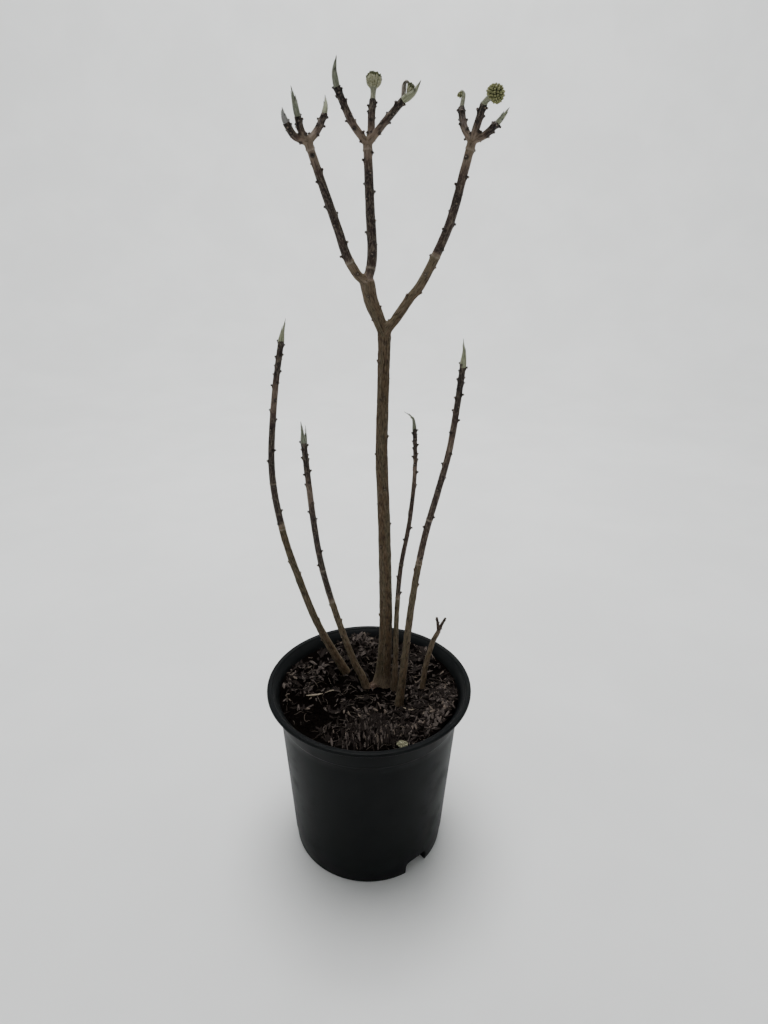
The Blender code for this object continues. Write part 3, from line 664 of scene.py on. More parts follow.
def arch_body(bearing, grow, reach):
    """Round-cornered block on the ground, from inside the foot out to reach."""
    half = ARCH_WIDTH / 2 + grow
    top = ARCH_HEIGHT + grow
    corner = ARCH_CORNER + grow
    start = FOOT_RADIUS - ARCH_DEPTH - grow
    outline = [(-half, -1.0), (half, -1.0)]
    outline += arc((half - corner, top - corner), corner, 0, 90, 8)
    outline += arc((corner - half, top - corner), corner, 90, 180, 8)
    bm = bmesh.new()
    face = bm.faces.new([bm.verts.new((start, along, height)) for along, height in outline])
    grown = bmesh.ops.extrude_face_region(bm, geom=[face])["geom"]
    bmesh.ops.translate(bm, vec=(reach - start, 0, 0), verts=verts_in(grown))
    bmesh.ops.rotate(bm, cent=(0, 0, 0), matrix=Matrix.Rotation(math.radians(bearing), 3, "Z"),
                     verts=bm.verts)
    bmesh.ops.recalc_face_normals(bm, faces=bm.faces)
    return bm


def hole_body(bearing):
    """Round bar through the floor where a drain hole is."""
    bm = bmesh.new()
    ends = bmesh.ops.create_cone(bm, cap_ends=True, segments=24, radius1=HOLE_RADIUS,
                                 radius2=HOLE_RADIUS, depth=4 * FLOOR_RISE)["verts"]
    spot = Matrix.Rotation(math.radians(bearing), 4, "Z") @ Matrix.Translation(
        (HOLE_CIRCLE, 0, FLOOR_RISE))
    bmesh.ops.transform(bm, matrix=spot, verts=ends)
    return bm


def cut_out(target, cutter):
    """Cut one object out of another, and remove it."""
    modifier = target.modifiers.new("cut", "BOOLEAN")
    modifier.operation = "DIFFERENCE"
    modifier.object = cutter
    baked(target)
    bpy.data.objects.remove(cutter)


def carve(target, bm):
    """Cut a body in millimetres out of a piece."""
    bmesh.ops.scale(bm, vec=(MM, MM, MM), verts=bm.verts)
    cut_out(target, placed("cutter", as_mesh("cutter", bm)))


def build_pot(material):
    pot = finished("pot_moulding", turned(outer_profile()), material, 35.0)
    cavity = finished("cavity", turned(inner_profile()), material)
    for bearing in ARCH_BEARINGS:
        carve(cavity, arch_body(bearing, POT_WALL, RIM_RADIUS))
    cut_out(pot, cavity)
    for bearing in ARCH_BEARINGS:
        carve(pot, arch_body(bearing, 0.0, RIM_RADIUS))
    for number in range(HOLE_COUNT):
        carve(pot, hole_body(360.0 * number / HOLE_COUNT + HOLE_TURN))
    pot.data.shade_smooth()
    pot.data.set_sharp_from_angle(angle=math.radians(35.0))
    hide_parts("pot")


# ---------------------------------------------------------------- soil

SOIL_RIM = inner_radius(SOIL_EDGE[0], CLEAR)        # radius of the soil where it meets the wall
# Centre and radius of every stem at the soil
STEM_FEET = [(TRUNK_ROUTE[0], (TRUNK_RADII[0] + TRUNK_FLARE) * 1.2), (STUB_ROUTE[0], STUB_RADII[0])]
STEM_FEET += [(route[0], foot + SUCKER_FLARE) for route, foot, _, _, _ in SUCKERS.values()]
# Straws on the soil: thickness, then points with their height over the crust
STRAWS = (
    (1.0, (-58.0, -4.0, 1.0), (-50.0, -1.5, 1.4), (-43.0, 1.0, 1.2)),
    (0.6, (-41.0, 2.0, 0.8), (-34.0, 4.5, 1.2), (-26.0, 5.0, 0.3)),
    (1.0, (31.0, -18.0, 0.8), (36.0, -21.0, 1.4), (41.0, -25.0, 0.5)),
)
LICHEN_SPOT = (29.0, -73.0)
LICHEN_RADIUS = 3.7


def soil_height(x, y):
    """Height of the solid soil: heaps and ripples, level round the foot of each stem."""
    level = SOIL_LEVEL - CLEAR
    edge = math.hypot(x, y) / inner_radius(SOIL_LEVEL, CLEAR)
    height = level + 0.5 + SOIL_EDGE_LIFT * edge ** 4
    for heap_x, heap_y, lift, spread in SOIL_HEAPS:
        height += lift * math.exp(-((x - heap_x) ** 2 + (y - heap_y) ** 2) / spread ** 2)
    height += 0.8 * math.sin(0.31 * x + 0.6) * math.cos(0.27 * y) + 0.6 * math.sin(0.2 * x * y / 40)
    for (foot_x, foot_y, _), radius in STEM_FEET:
        away = math.hypot(x - foot_x, y - foot_y) - radius - PAD_MARGIN
        height = level + (height - level) * step_up(away, 0.0, PAD_FADE)
    return min(height, SOIL_CEILING)


def crust(x, y):
    """Height of the fine crust: the solid soil, lifted, with clods and grains."""
    spot = Vector((x, y, 0.0))
    clods = noise.fractal(spot / 5.5, 0.8, 2.1, 4) + 0.55
    grains = noise.noise(spot * 0.9 + Vector((7.0, 3.0, 1.0)))
    return soil_height(x, y) + COVER_LIFT + max(0.0, 1.1 * clods) + 0.25 * (grains + 1.0)


def build_crust(material):
    rings = 104
    under = SOIL_LEVEL - 4.0
    profile = [(0.0, under), (SOIL_RIM - 2.0, under)]
    profile += [(SOIL_RIM * (1 - ring / rings), SOIL_EDGE[1]) for ring in range(rings + 1)]
    bm = turned(profile, 400)
    for vert in bm.verts:
        if vert.co.z > under + 0.1:
            x, y, _ = vert.co
            radius = math.hypot(x, y)
            vert.co.z = crust(x, y)
            if radius > SOIL_RIM - 0.01:
                vert.co.z = min(max(vert.co.z, SOIL_EDGE[0]), SOIL_EDGE[1] - 1.0)
                shrink = inner_radius(vert.co.z, CLEAR) / radius
                vert.co.x *= shrink
                vert.co.y *= shrink
    piece = finished("compost_crust", bm, material, 70.0)


def chip_weight(x, y):
    """How much bark lies at a place, from 0 to 1: heaped in front, at the right and behind."""
    weight = 0.10
    for heap_x, heap_y, lift, spread in SOIL_HEAPS:
        if lift > 3.0:
            near = ((x - heap_x) ** 2 + (y - heap_y) ** 2) / (1.25 * spread) ** 2
            weight += 0.09 * lift * math.exp(-near)
    hollow = math.exp(-((x + 50.0) ** 2 + (y + 34.0) ** 2) / 33.0 ** 2)
    return min(weight, 1.0) * (1.0 - 0.95 * hollow)


def soil_spots(count, rng, weight=chip_weight):
    """Places on the soil, drawn by weight and clear of the stems."""
    limit = SOIL_RIM - 2.5
    spots = []
    while len(spots) < count:
        radius = limit * math.sqrt(rng.random())
        turn = rng.uniform(0.0, math.tau)
        x, y = radius * math.cos(turn), radius * math.sin(turn)
        if rng.random() > weight(x, y):
            continue
        if all(math.hypot(x - fx, y - fy) > foot + 1.0 for (fx, fy, _), foot in STEM_FEET):
            spots.append((x, y))
    return spots


def kept_inside(x, y, margin):
    """A place drawn in towards the middle where it comes too near the pot's wall."""
    inward = min(1.0, (SOIL_RIM - margin) / math.hypot(x, y))
    return x * inward, y * inward


def lie(x, y, rng, tilt, lift, turn=None):
    """Matrix that lays a shape, long along X, on the crust with some tilt and lift."""
    turn = rng.uniform(0.0, math.tau) if turn is None else turn
    return (Matrix.Translation((x, y, crust(x, y) + lift))
            @ Matrix.Rotation(turn, 4, "Z")
            @ Matrix.Rotation(tilt, 4, "Y")
            @ Matrix.Rotation(rng.uniform(-0.9, 0.9), 4, "X"))


def chip(matrix, length, width, thick, rng):
    """A split piece of bark: a short bar, ragged at its ends and a little bent."""
    def make(bm):
        verts = bmesh.ops.create_grid(bm, x_segments=3, y_segments=1, size=0.5)["verts"]
        faces = list({face for vert in verts for face in vert.link_faces})
        top = verts_in(bmesh.ops.extrude_face_region(bm, geom=faces)["geom"])
        bmesh.ops.reverse_faces(bm, faces=faces)
        bend = rng.uniform(-0.07, 0.07)
        for vert in top:
            vert.co.z = 1.0
        for vert in verts + top:
            x, y, z = vert.co
            narrow = 1.0 - 0.6 * (2 * abs(x)) ** 4
            vert.co = (x * length + rng.uniform(-0.10, 0.10) * length,
                       y * width * narrow + rng.uniform(-0.10, 0.10) * width,
                       (z - 0.4) * thick + bend * (1 - 4 * x * x) * length
                       + rng.uniform(-0.15, 0.15) * thick)
        bmesh.ops.transform(bm, matrix=matrix, verts=verts + top)
    return make


def crumb(matrix, size, rng):
    """A grain of compost."""
    def make(bm):
        verts = bmesh.ops.create_icosphere(bm, subdivisions=1, radius=size)["verts"]
        for vert in verts:
            vert.co *= rng.uniform(0.7, 1.25)
            vert.co.z *= 0.7
        bmesh.ops.transform(bm, matrix=matrix, verts=verts)
    return make


def thread(points, thick):
    """A fine root or straw through a few points, pointed at both ends."""
    def make(bm):
        route = Route(points)
        tube(bm, route, lambda d: thick * (0.35 + 0.65 * math.sin(math.pi * d / route.length)),
             0.0, route.length, 5, route.length / 10)
    return make


def loose_thread(x, y, rng, length, thick):
    """A thread that wanders over the crust and dips into it at its ends."""
    turn = rng.uniform(0.0, math.tau)
    points = []
    for step in range(4):
        points.append((x, y, crust(x, y) + (0.6 if step in (1, 2) else -0.6)))
        turn += rng.uniform(-0.7, 0.7)
        x += length / 3 * math.cos(turn)
        y += length / 3 * math.sin(turn)
        x, y = kept_inside(x, y, 1.5)
    return thread(points, thick)


# Bark of each tone: how many chips and their lengths, then the larger slabs of each heap:
# middle, spread, how many, their lengths
BARK = {
    "dark": (1250, (3.0, 10.0), (
        (-30.0, 52.0, 14.0, 12, (8.0, 13.0)), (40.0, 40.0, 14.0, 10, (7.0, 12.0)))),
    "mauve": (470, (2.5, 9.0), (
        (-8.0, 64.0, 9.0, 20, (7.0, 13.0)), (62.0, -36.0, 10.0, 16, (5.0, 9.0)),
        (-48.0, 40.0, 8.0, 6, (6.0, 10.0)))),
    "tan": (130, (2.0, 8.0), (
        (-4.0, 66.0, 7.0, 5, (6.0, 10.0)), (66.0, -34.0, 8.0, 7, (4.0, 8.0)),
        (52.0, -4.0, 7.0, 3, (4.0, 7.0)))),
}


def small_chips(count, lengths, rng):
    """Makers of chips over the whole soil: many tilted up and slim in front, long behind."""
    for x, y in soil_spots(count, rng):
        front = math.exp(-((x + 1.0) ** 2 + (y + 66.0) ** 2) / 27.0 ** 2)
        behind = math.exp(-((x + 8.0) ** 2 + (y - 64.0) ** 2) / 18.0 ** 2)
        length = rng.uniform(*lengths) * (1.0 + 0.4 * behind)
        slim = rng.uniform(0.12, 0.34) * (1.0 - 0.3 * front)
        turn, tilt = None, rng.gauss(0.0, 0.25 + 0.4 * behind)
        if rng.random() < 1.4 * front:
            turn = rng.gauss(math.pi / 2, 0.3)
            tilt = rng.uniform(-1.1, -0.3)
        matrix = lie(x, y, rng, tilt, 0.5, turn)
        yield chip(matrix, length, length * slim, rng.uniform(0.4, 1.1), rng)


def slabs(heaps, rng):
    """Makers of the larger slabs, scattered round the middle of each heap."""
    for heap_x, heap_y, spread, number, (shortest, longest) in heaps:
        for _ in range(number):
            x, y = kept_inside(rng.gauss(heap_x, spread), rng.gauss(heap_y, spread), 6.0)
            length = rng.uniform(shortest, longest)
            matrix = lie(x, y, rng, rng.uniform(-0.9, 0.3), 1.0, rng.gauss(1.1, 0.6))
            yield chip(matrix, length, length * rng.uniform(0.22, 0.42), rng.uniform(0.7, 1.5), rng)


def join_threads(rng):
    """Makers of the bundle of threads that joins the foot of stem_inner_left to the trunk's."""
    shoot, trunk = Vector(SUCKERS["stem_inner_left"][0][0]), Vector(TRUNK_ROUTE[0])
    for _ in range(60):
        side = Vector((0.0, rng.gauss(-2.0, 1.4), 0.0))
        low, high = shoot + side, trunk + side
        middle = low.lerp(high, rng.uniform(0.3, 0.7))
        low.z, high.z = crust(low.x, low.y) - 0.5, crust(high.x, high.y) + rng.uniform(0.5, 4.5)
        middle.z = crust(middle.x, middle.y) + rng.uniform(0.2, 2.4)
        yield thread((low, middle, high), rng.uniform(0.3, 0.65))


def build_litter(tones):
    """Bark, grains, roots and straw over the crust; each tone of bark is a piece of its own."""
    rng = random.Random(SEEDS["litter"])
    for tone, (count, lengths, heaps) in BARK.items():
        makers = [*small_chips(count, lengths, rng), *slabs(heaps, rng)]
        piece = finished("bark_chips_" + tone, gathered(makers), tones["bark_" + tone], 30.0)
    makers = [crumb(lie(x, y, rng, 0.0, 0.2), rng.choice((0.5, 0.7, 0.9, 1.3)), rng)
              for x, y in soil_spots(2600, rng, lambda x, y: 1.0)]
    finished("compost_grains", gathered(makers), tones["grains"], 30.0)
    makers = [loose_thread(x, y, rng, rng.uniform(6.0, 22.0), rng.uniform(0.12, 0.3))
              for x, y in soil_spots(190, rng, lambda x, y: 0.4 + 0.6 * chip_weight(x, y))]
    finished("root_threads", gathered(makers), tones["threads"], 60.0)
    straw = [thread([(x, y, crust(x, y) + lift) for x, y, lift in points], thick)
             for thick, *points in STRAWS]
    finished("straw", gathered(straw), tones["straw"], 60.0)
    makers = join_threads(rng)
    finished("root_join", gathered(makers), tones["join"], 60.0)


def build_lichen(tones):
    """A knobbly lump of lichen on the soil by the pot's front edge."""
    bm = bmesh.new()
    bmesh.ops.create_icosphere(bm, subdivisions=5, radius=LICHEN_RADIUS)
    for vert in bm.verts:
        lump = noise.fractal(vert.co / 1.5, 0.6, 2.2, 5)
        vert.co *= 1.0 + 0.5 * lump
        vert.co.z *= 0.6
    bmesh.ops.translate(bm, vec=(*LICHEN_SPOT, crust(*LICHEN_SPOT) + 1.0), verts=bm.verts)
    finished("lichen_lump", bm, tones["lichen"], 60.0)


# ---------------------------------------------------------------- wood

def taper(length, foot, tip):
    """Radius that changes evenly along a limb."""
    def radius(distance):
        return foot + (tip - foot) * min(max(distance / length, 0.0), 1.0)
    return radius


def trunk_radius(length):
    """Radius of the trunk: tapered, flared at the soil and swollen under the fork."""
    plain = taper(length, *TRUNK_RADII)

    def radius(distance):
        return (plain(distance) + TRUNK_FLARE * math.exp(-max(distance, 0.0) / TRUNK_FLARE_REACH)
                + CROTCH_SWELL * math.exp((distance - length) / CROTCH_REACH))
    return radius


def trunk_lobes(distance, turn):
    """Root lobes at the foot of the trunk, fading up it."""
    fade = math.exp(-max(distance, 0.0) / 11.0)
    return 1.0 + LOBE_DEPTH * fade * math.cos(ROOT_LOBES * turn + 0.6)


def leaf_scars(name, start, end, gap_low, gap_high):
    """Distance along a limb, turn round it and height of each scar, closer towards the tip."""
    rng = random.Random(name)
    scars = []
    distance = start + gap_low * 0.6
    turn = rng.uniform(0, math.tau)
    while distance < end:
        left = 1.0 - (distance - start) / (end - start)
        scars.append((distance, turn, rng.uniform(1.2, 1.8)))
        distance += (gap_high + (gap_low - gap_high) * left ** 1.5) * rng.uniform(0.85, 1.15)
        turn += GOLDEN_ANGLE
    return scars


class Limb:
    """One limb as it grows: its route and radius, the age of its bark, its scars and rings."""

    def __init__(self, route, radius_at, start, end, ages, scars=(), rings=(), sides=28,
                 scar_size=1.0, lobes=None):
        self.route = route
        self.radius_at = radius_at
        self.start = start
        self.end = end
        self.ages = ages
        self.scars = scars
        self.rings = rings
        self.sides = sides
        self.scar_size = scar_size
        self.lobes = lobes

    def age(self, distance):
        return between(self.ages, (distance - self.start) / (self.end - self.start))

    def scar_frame(self, distance, turn):
        """Matrix on the bark, Z leaning from straight out towards the tip, X up the limb."""
        here = frame_at(self.route, distance)
        out = here.to_3x3() @ spoke(turn)
        along = self.route.along(distance)
        square = Matrix((along, out.cross(along), out)).transposed().to_4x4()
        place = here.translation + out * self.radius_at(distance)
        return (Matrix.Translation(place) @ square
                @ Matrix.Rotation(math.radians(SCAR_LEAN), 4, "Y")
                @ Matrix.Scale(self.scar_size, 4))


def cushion(bm, spot):
    """Low swelling under a scar that runs a little way down the limb."""
    verts = bmesh.ops.create_cone(bm, cap_ends=True, segments=12, radius1=2.2, radius2=1.15,
                                  depth=1.0)["verts"]
    for vert in verts:
        low = vert.co.z < 0.0
        vert.co.x = vert.co.x * 1.3 - 0.9 if low else vert.co.x
        vert.co.z = -1.2 if low else 0.55
    bmesh.ops.transform(bm, matrix=spot, verts=verts)


def peg(spot, height, rng):
    """The stump of a fallen leaf: a short flattened peg with a hollowed end."""
    wide = rng.uniform(0.9, 1.15)

    def make(bm):
        verts = bmesh.ops.create_cone(bm, cap_ends=True, segments=12, radius1=1.3, radius2=0.98,
                                      depth=1.0)["verts"]
        end = next(face for face in {face for vert in verts for face in vert.link_faces}
                   if len(face.verts) == 12 and face.calc_center_median().z > 0)
        inset = bmesh.ops.inset_region(bm, faces=[end], thickness=0.2, depth=-0.16,
                                       use_even_offset=True)["faces"]
        made = set(verts) | {vert for face in inset + [end] for vert in face.verts}
        for vert in made:
            swell = 1.0 + 0.10 * noise.noise(vert.co * 1.3 + Vector((height * 9, wide * 7, 0)))
            vert.co.x *= 0.82 * swell
            vert.co.y *= wide * swell
            vert.co.z = -0.8 + (vert.co.z + 0.5) * (height + 0.8)
        bmesh.ops.transform(bm, matrix=spot, verts=list(made))
    return make


def peg_face(spot, height):
    """The pale domed scar in the hollow of a peg."""
    def make(bm):
        verts = bmesh.ops.create_uvsphere(bm, u_segments=10, v_segments=5, radius=0.75)["verts"]
        for vert in verts:
            vert.co.x *= 0.8
            vert.co.z = vert.co.z * 0.3 + height - 0.12
        bmesh.ops.transform(bm, matrix=spot, verts=verts)
    return make


def build_scars(limbs, tones):
    """The pegs and scars of all limbs: brown on old wood, black on young."""
    rng = random.Random(SEEDS["scars"])
    old, young, faces = [], [], []
    for limb in limbs:
        for distance, turn, height in limb.scars:
            spot = limb.scar_frame(distance, turn)
            aged = limb.age(distance) > 0.6
            rise = height * (0.75 if aged else 1.0)
            (old if aged else young).append(peg(spot, rise, rng))
            if rng.random() < 0.7:
                faces.append(peg_face(spot, rise))
    for name, makers, tone in (("scar_pegs_old", old, "peg_old"), ("scar_pegs_young", young, "peg"),
                               ("scar_faces", faces, "scar")):
        finished(name, gathered(makers), tones[tone], 50.0)


class Wood:
    """Finds the limb under a point of the bark, and how near the point is to a scar."""

    STEP = 1.0

    def __init__(self, limbs):
        self.samples = []
        for limb in limbs:
            steps = int((limb.end - limb.start) / self.STEP) + 1
            for number in range(steps + 1):
                distance = limb.start + (limb.end - limb.start) * number / steps
                self.samples.append((limb, distance, limb.route.at(distance),
                                     limb.route.along(distance)))
        self.middles = self.grown([sample[2] for sample in self.samples])
        self.scars = [(limb.scar_frame(*scar[:2]).translation, limb.scar_size)
                      for limb in limbs for scar in limb.scars]
        self.marks = self.grown([place for place, _ in self.scars])

    @staticmethod
    def grown(places):
        tree = KDTree(len(places))
        for number, place in enumerate(places):
            tree.insert(place, number)
        tree.balance()
        return tree

    def under(self, point):
        """The limb, the distance along it, and the way out from its middle to the point."""
        number = self.middles.find(point)[1]
        limb, distance, place, tangent = self.samples[number]
        shift = (point - place).dot(tangent)
        return limb, distance + shift, point - place - tangent * shift

    def scar_distance(self, point):
        """Distance to the nearest scar, as a share of its size."""
        if not self.scars:
            return 9.0
        _, number, distance = self.marks.find(point)
        return distance / self.scars[number][1]


def bark_relief(grain, age):
    """How far the bark stands out at a point of a limb: lumps, ridges and old fissures."""
    x, y, z = grain
    lumps = noise.noise(Vector((x / 3.0, y / 3.0, z / 9.0)))
    ribs = noise.noise(Vector((x / 0.9, y / 0.9, z / 5.0)) + Vector((3.0, 8.0, 1.0)))
    crack = abs(noise.noise(Vector((x / 1.5, y / 1.5, z / 11.0)) + Vector((9.0, 2.0, 5.0))))
    old = step_up(age, 0.5, 0.9)
    fissure = max(0.0, 1.0 - crack / 0.13)
    return (0.05 + 0.12 * lumps + 0.06 * ribs
            + old * (0.12 * lumps + 0.10 * ribs - 0.26 * fissure))


def ring_relief(limb, distance):
    """How far a growth ring stands out at a distance along a limb, from 0 to 1."""
    return max((math.exp(-((distance - ring) / 0.8) ** 2) for ring in limb.rings), default=0.0)


def skin(name, limbs, voxel, material, folds=()):
    """Melt overlapping limbs and their scar cushions into one skin, and give it bark.

    A fold is a (place, reach, passes): there the crotch is smoothed into a fillet.
    """
    bodies = bmesh.new()
    for limb in limbs:
        tube(bodies, limb.route, lambda d, limb=limb: limb.radius_at(d) + SKIN_SWELL, limb.start,
             limb.end, limb.sides, 1.2, limb.lobes)
        for distance, turn, _ in limb.scars:
            cushion(bodies, limb.scar_frame(distance, turn))
    bmesh.ops.recalc_face_normals(bodies, faces=bodies.faces)
    melted = placed(name, as_mesh(name, bodies))
    remesh = melted.modifiers.new("melt", "REMESH")
    remesh.mode = "VOXEL"
    remesh.voxel_size = voxel
    baked(melted)
    bm = bmesh.new()
    bm.from_mesh(melted.data)
    bpy.data.objects.remove(melted)
    for place, reach, passes in folds:
        centre = Vector(place)
        near = [vert for vert in bm.verts if (vert.co - centre).length < reach]
        for _ in range(passes):
            bmesh.ops.smooth_vert(bm, verts=near, factor=0.5, use_axis_x=True, use_axis_y=True,
                                  use_axis_z=True)
    wood = Wood(limbs)
    grains, tones = [], []
    for vert in bm.verts:
        limb, distance, out = wood.under(vert.co)
        way = out.normalized()
        radius = limb.radius_at(distance)
        grain = Vector((way.x * radius, way.y * radius, distance))
        age = limb.age(distance) + 0.06 * noise.noise(vert.co / 6.0)
        scar = 1.0 - step_up(wood.scar_distance(vert.co), 1.0, 2.3)
        ring = ring_relief(limb, distance)
        vert.co += way * (bark_relief(grain, age) * (1.0 - 0.7 * scar) + 0.25 * ring)
        patchy = 0.5 + 0.5 * noise.noise(vert.co / 2.0)
        grains.extend(grain)
        tones.extend((age, scar * (0.85 - 0.5 * step_up(age, 0.6, 0.9)), ring * patchy, 1.0))
    piece = finished(name, bm, material, 180.0)
    piece.data.attributes.new("grain", "FLOAT_VECTOR", "POINT").data.foreach_set("vector", grains)
    piece.data.attributes.new("wood", "FLOAT_COLOR", "POINT").data.foreach_set("color", tones)
    return piece


def build_frame(material, limbs):
    """Trunk, leader and boughs as one skin, with rounded forks."""
    trunk = Route(TRUNK_ROUTE)
    leader = Route(LEADER_ROUTE)
    frame_limbs = [
        Limb(trunk, trunk_radius(trunk.length), -3.0, trunk.length,
             ((0.0, 0.62), (0.03, 0.7), (0.08, 1.0), (0.9, 1.0), (1.0, 0.9)),
             leaf_scars("trunk", 40.0, trunk.length - 20.0, *TRUNK_SCARS),
             sides=44, lobes=trunk_lobes),
        Limb(leader, taper(leader.length, *LEADER_RADII), 0.0, leader.length,
             ((0.0, 0.92), (1.0, 0.78)),
             leaf_scars("leader_left", 4.0, leader.length - 2.0, *LEADER_SCARS),
             sides=36, scar_size=0.85),
    ]
    boughs = []
    for name, points, radii, ages in (
            ("bough_left", BOUGH_LEFT_ROUTE, LEFT_RADII,
             ((0.0, 0.8), (0.2, 0.76), (0.23, 0.26), (0.7, 0.16), (0.88, 0.42), (1.0, 0.58))),
            ("bough_middle", BOUGH_MIDDLE_ROUTE, MIDDLE_RADII,
             ((0.0, 0.5), (0.1, 0.3), (0.5, 0.12), (0.8, 0.2), (0.93, 0.5), (1.0, 0.62))),
            ("bough_right", BOUGH_RIGHT_ROUTE, RIGHT_RADII,
             ((0.0, 0.9), (0.48, 0.8), (0.51, 0.28), (0.8, 0.22), (0.92, 0.5), (1.0, 0.66)))):
        route = Route(points)
        end = route.length - HEAD_STEM + 1.5
        scars = leaf_scars(name, 5.0, route.length - HEAD_STEM, *BOUGH_SCARS)
        frame_limbs.append(Limb(route, taper(route.length, *radii), 0.0, end, ages, scars,
                                rings=(end * ages[1][0],), sides=32, scar_size=1.05))
        boughs.append(route)
    piece = skin("trunk_and_boughs", frame_limbs, FRAME_VOXEL, material,
                 folds=((FORK, 16.0, 26), (UPPER_FORK, 13.0, 16)))
    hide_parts("trunk", "leader_left", "bough_left", "bough_middle", "bough_right")
    limbs += frame_limbs
    return boughs


def shoot_radius(length, foot, tip):
    """Radius of a basal shoot up to its bud."""
    plain = taper(length - BUD_LENGTH, foot, tip)

    def radius(distance):
        return plain(distance) + SUCKER_FLARE * math.exp(-max(distance, 0.0) / SUCKER_FLARE_REACH)
    return radius


def build_shoots(material, limbs, buds):
    """The four basal shoots, each with a spear bud, and the small second bud."""
    for name, (points, foot, tip, gap_low, gap_high) in SUCKERS.items():
        route = Route(points)
        bud_start = route.length - BUD_LENGTH
        ages = SUCKER_AGES[name]
        end = bud_start + 2.0
        limb = Limb(route, shoot_radius(route.length, foot, tip), -3.0, end, ages,
                    leaf_scars(name, 12.0, bud_start - CROWN_LENGTH, gap_low, gap_high * 1.8)
                    + leaf_scars(name + "_crown", bud_start - CROWN_LENGTH, end, *CROWN_SCARS),
                    rings=(end * ages[1][0], end * (ages[1][0] + 0.13)), sides=26, scar_size=0.95)
        piece = skin(name + "_bark", [limb], SHOOT_VOXEL, material)
        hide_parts(name)
        limbs.append(limb)
        buds.append(Bud(route, bud_start - 1.0, route.length, tip, SUCKER_BUDS[name], SPEAR_SHAPE))
    second = Route(SECOND_TIP)
    buds.append(Bud(second, 0.0, second.length, 1.4, "green", SPEAR_SHAPE))


def build_stub(material, limbs):
    """The short shoot that was cut back, with its two prongs."""
    stub = Route(STUB_ROUTE)
    ages = ((0.0, 0.95), (1.0, 0.7))
    stub_limbs = [Limb(stub, taper(stub.length, *STUB_RADII), -3.0, stub.length, ages,
                       leaf_scars("stem_stub", 14.0, stub.length, *STUB_SCARS), scar_size=0.8)]
    for points in STUB_PRONGS:
        prong = Route(points)
        stub_limbs.append(Limb(prong, taper(prong.length, *PRONG_RADII), 0.0, prong.length,
                               ((0.0, 0.5), (1.0, 0.1)),
                               leaf_scars(str(points), 2.0, prong.length - 1.0, *PRONG_SCARS),
                               sides=16, scar_size=0.5))
    piece = skin("stem_stub_bark", stub_limbs, SHOOT_VOXEL, material)
    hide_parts("stem_stub")
    limbs += stub_limbs


def build_heads(boughs, material, limbs, buds, flowers):
    """The forked twigs of each head, with what their ends carry noted for later."""
    for (name, (fork, tip, radii, twigs)), bough in zip(HEADS.items(), boughs):
        start = bough.length - HEAD_STEM - 0.4
        head_limbs = [Limb(bough, taper(bough.length, tip + 0.1, tip + 0.1), start, bough.length,
                           ((0.0, 0.6), (1.0, 0.68)), rings=(start + 0.8,))]
        for number, (points, *ends) in enumerate(twigs):
            route = Route((fork,) + points)
            scars = leaf_scars(f"{name}_{number}", 3.0, route.length, TWIG_SCARS, TWIG_SCARS)
            crown = leaf_scars(f"{name}_{number}_crown", route.length - TWIG_CROWN_LENGTH,
                               route.length, *TWIG_CROWN_SCARS)
            head_limbs.append(Limb(route, taper(route.length, *radii), 0.0, route.length,
                                   ((0.0, 0.66), (0.3, 0.52), (0.6, 0.30), (0.82, 0.1), (1.0, 0.0)),
                                   scars + crown, sides=22, scar_size=0.92))
            root = route.at(route.length - 0.7)
            along = route.along(route.length - 2.0)
            for kind, place, size, tone in ends:
                place = Vector(place)
                if kind == "bud":
                    way = arched(root, place, along)
                    buds.append(Bud(way, 0.0, way.length, size, tone))
                else:
                    flowers.append((kind, root, place, size, along))
        piece = skin(name + "_wood", head_limbs, TWIG_VOXEL, material, folds=((fork, 6.0, 8),))
        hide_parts(name)
        limbs += head_limbs


# ---------------------------------------------------------------- buds and flowers

class Bud:
    """A pointed bud along part of a route."""

    def __init__(self, route, start, end, radius, tone, shape=BUD_SHAPE):
        self.route = route
        self.start = start
        self.end = end
        self.radius = radius
        self.tone = tone
        self.shape = shape

    def at(self, share, angle, rise):
        """Point on the bud's surface at a share of its length, lifted by rise."""
        distance = self.start + (self.end - self.start) * share
        out = self.radius * between(self.shape, share) + rise
        return frame_at(self.route, distance) @ spoke(angle, out)


def arched(root, tip, along):
    """Route that leaves a twig the way the twig grows and bends over to a tip."""
    span = (tip - root).length
    return Route((root, (root + along * span / 2).lerp((root + tip) / 2, 0.65), tip))


def bud_leaf(bud, turn, wrap, layer, top):
    """One silky leaf wrapped round a bud, from its foot to the share top of its length."""
    def make(bm):
        verts = bmesh.ops.create_grid(bm, x_segments=8, y_segments=18, size=0.5,
                                      calc_uvs=True)["verts"]
        faces = list({face for vert in verts for face in vert.link_faces})
        for vert in verts:
            across, up = 2 * vert.co.x, min(vert.co.y + 0.5, 0.999)
            width = (1.0 - up ** 2.2) ** 0.8 + 0.03
            keel = 0.10 * math.exp(-(across / 0.18) ** 2)
            rise = 0.08 + 0.12 * layer + keel - 0.10 * across * across + 0.2 * layer * up ** 5
            vert.co = bud.at(top * up, turn + across * wrap * width, rise)
        bmesh.ops.solidify(bm, geom=faces, thickness=0.12)
    return make


def wrapped_bud(bud, rng):
    """Makers of a bud: its pointed heart, and leaves round it, the outer ones shorter."""
    makers = [lambda bm: tube(bm, bud.route, lambda d: bud.radius * between(
        bud.shape, (d - bud.start) / (bud.end - bud.start)), bud.start, bud.end, 14, 0.9)]
    turn = rng.uniform(0.0, math.tau)
    for layer, top in enumerate((1.0, 0.84, 0.68)):
        makers.append(bud_leaf(bud, turn, 2.0 - 0.3 * layer, layer, top * rng.uniform(0.95, 1.0)))
        turn += GOLDEN_ANGLE
    return makers


